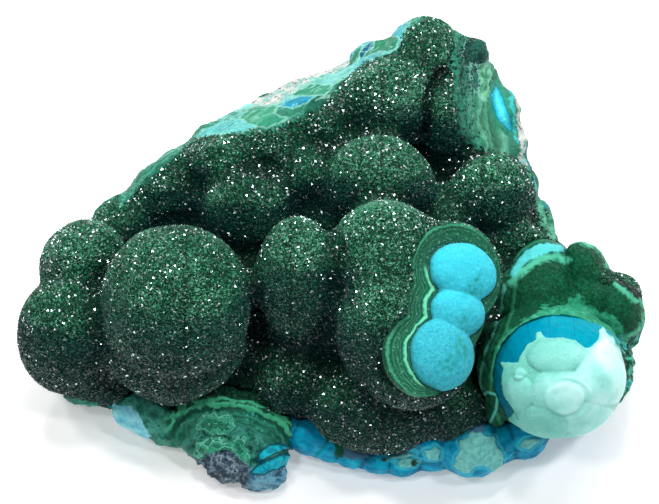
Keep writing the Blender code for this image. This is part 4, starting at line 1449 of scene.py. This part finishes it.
# %% Material of the ledges
ledge = Finish("banded_ledge", roughness=0.5, gloss=0.15)
arched = ledge.ramp(
    ledge.between(ledge.wander("arch_mm", 2.0, 0.5), -0.4, 5.2), (0.0, 16, 84, 64), (0.08, 20, 92, 70),
    (0.12, 76, 190, 144), (0.21, 60, 172, 130), (0.25, 12, 76, 60), (0.38, 22, 96, 78), (0.44, 48, 146, 118),
    (0.5, 26, 104, 86), (0.58, 44, 136, 110), (0.64, 22, 98, 80), (0.74, 52, 146, 122), (0.8, 26, 104, 86),
    (0.92, 38, 124, 104),
)
ledge.tint = ledge.ramp(
    ledge.noise(2.0, 5, 0.65), (0.32, 22, 90, 78), (0.46, 46, 132, 114), (0.54, 76, 168, 150),
    (0.6, 42, 124, 108), (0.7, 26, 98, 84),
)
ledge.lay(arched, ledge.marked("arch_share"))
knotty = ledge.ramp(
    ledge.between(ledge.wander("knot_mm", 1.8, 0.8), -2.6, 0.4), (0.0, 34, 130, 100), (0.12, 84, 190, 156),
    (0.2, 12, 74, 60), (0.32, 44, 146, 112), (0.4, 14, 82, 66), (0.5, 68, 178, 142), (0.6, 34, 130, 102),
    (0.68, 112, 210, 182), (0.76, 18, 92, 74), (0.86, 56, 160, 126), (0.94, 8, 58, 50),
)
ledge.lay(knotty, "knot_mm", edge=0.3, wander=0.3)
fleck = ledge.between(ledge.wander(ledge.cells(0.8), 0.5, 0.2), 0.34, 0.24)
ledge.lay((50, 168, 150), ledge.times(fleck, ledge.between(ledge.marked("fleck_mm"), 0.3, -0.6)))
ledge.lay((8, 48, 38), ledge.marked("over_arch"))

# %% Rock and chrysocolla of the ledges
rocky = ledge.ramp(
    ledge.noise(1.8, 5, 0.7), (0.32, 36, 60, 82), (0.42, 80, 130, 154), (0.5, 124, 186, 208),
    (0.58, 74, 144, 176), (0.68, 44, 76, 100),
)
dark_rock = ledge.ramp(
    ledge.noise(1.5, 5, 0.75), (0.34, 16, 24, 36), (0.46, 44, 64, 80), (0.54, 80, 106, 124),
    (0.59, 158, 180, 190), (0.64, 52, 70, 88), (0.74, 22, 32, 46),
)
rocky = ledge.mix(ledge.marked("left_rock"), rocky, dark_rock)
ledge.lay(rocky, "rock_gap_mm", edge=0.2, wander=0.5)
bright_cyan = ledge.ramp(ledge.noise(1.0, 3), (0.35, 2, 140, 168), (0.6, 22, 206, 226))
ledge.lay(bright_cyan, "cyan_mm", edge=0.15, wander=0.15)
ledge.lay((4, 70, 84), ledge.line(ledge.marked("cyan_mm"), 0.28, 0.1, 0.8))
sky = ledge.ramp(ledge.noise(1.6, 3), (0.35, 92, 192, 214), (0.65, 156, 236, 246))
ledge.lay(sky, "sky_mm", edge=0.15, wander=0.3)
ledge.bump(ledge.noise(0.5, 5, 0.65), 0.2)
finish_piece(scatter("foot_grains", foot, 0.9 * over_arch, druse_tree), druse_material)
finish_piece(foot, ledge.paint(ledge.mottled(1.0, 0.35, 0.65)))

# %% [markdown]
# ## The pattern crystal
# The pattern crystal is put away, because only its copies belong to the specimen.

# %% Put the pattern crystal away
bpy.data.objects.remove(crystal)
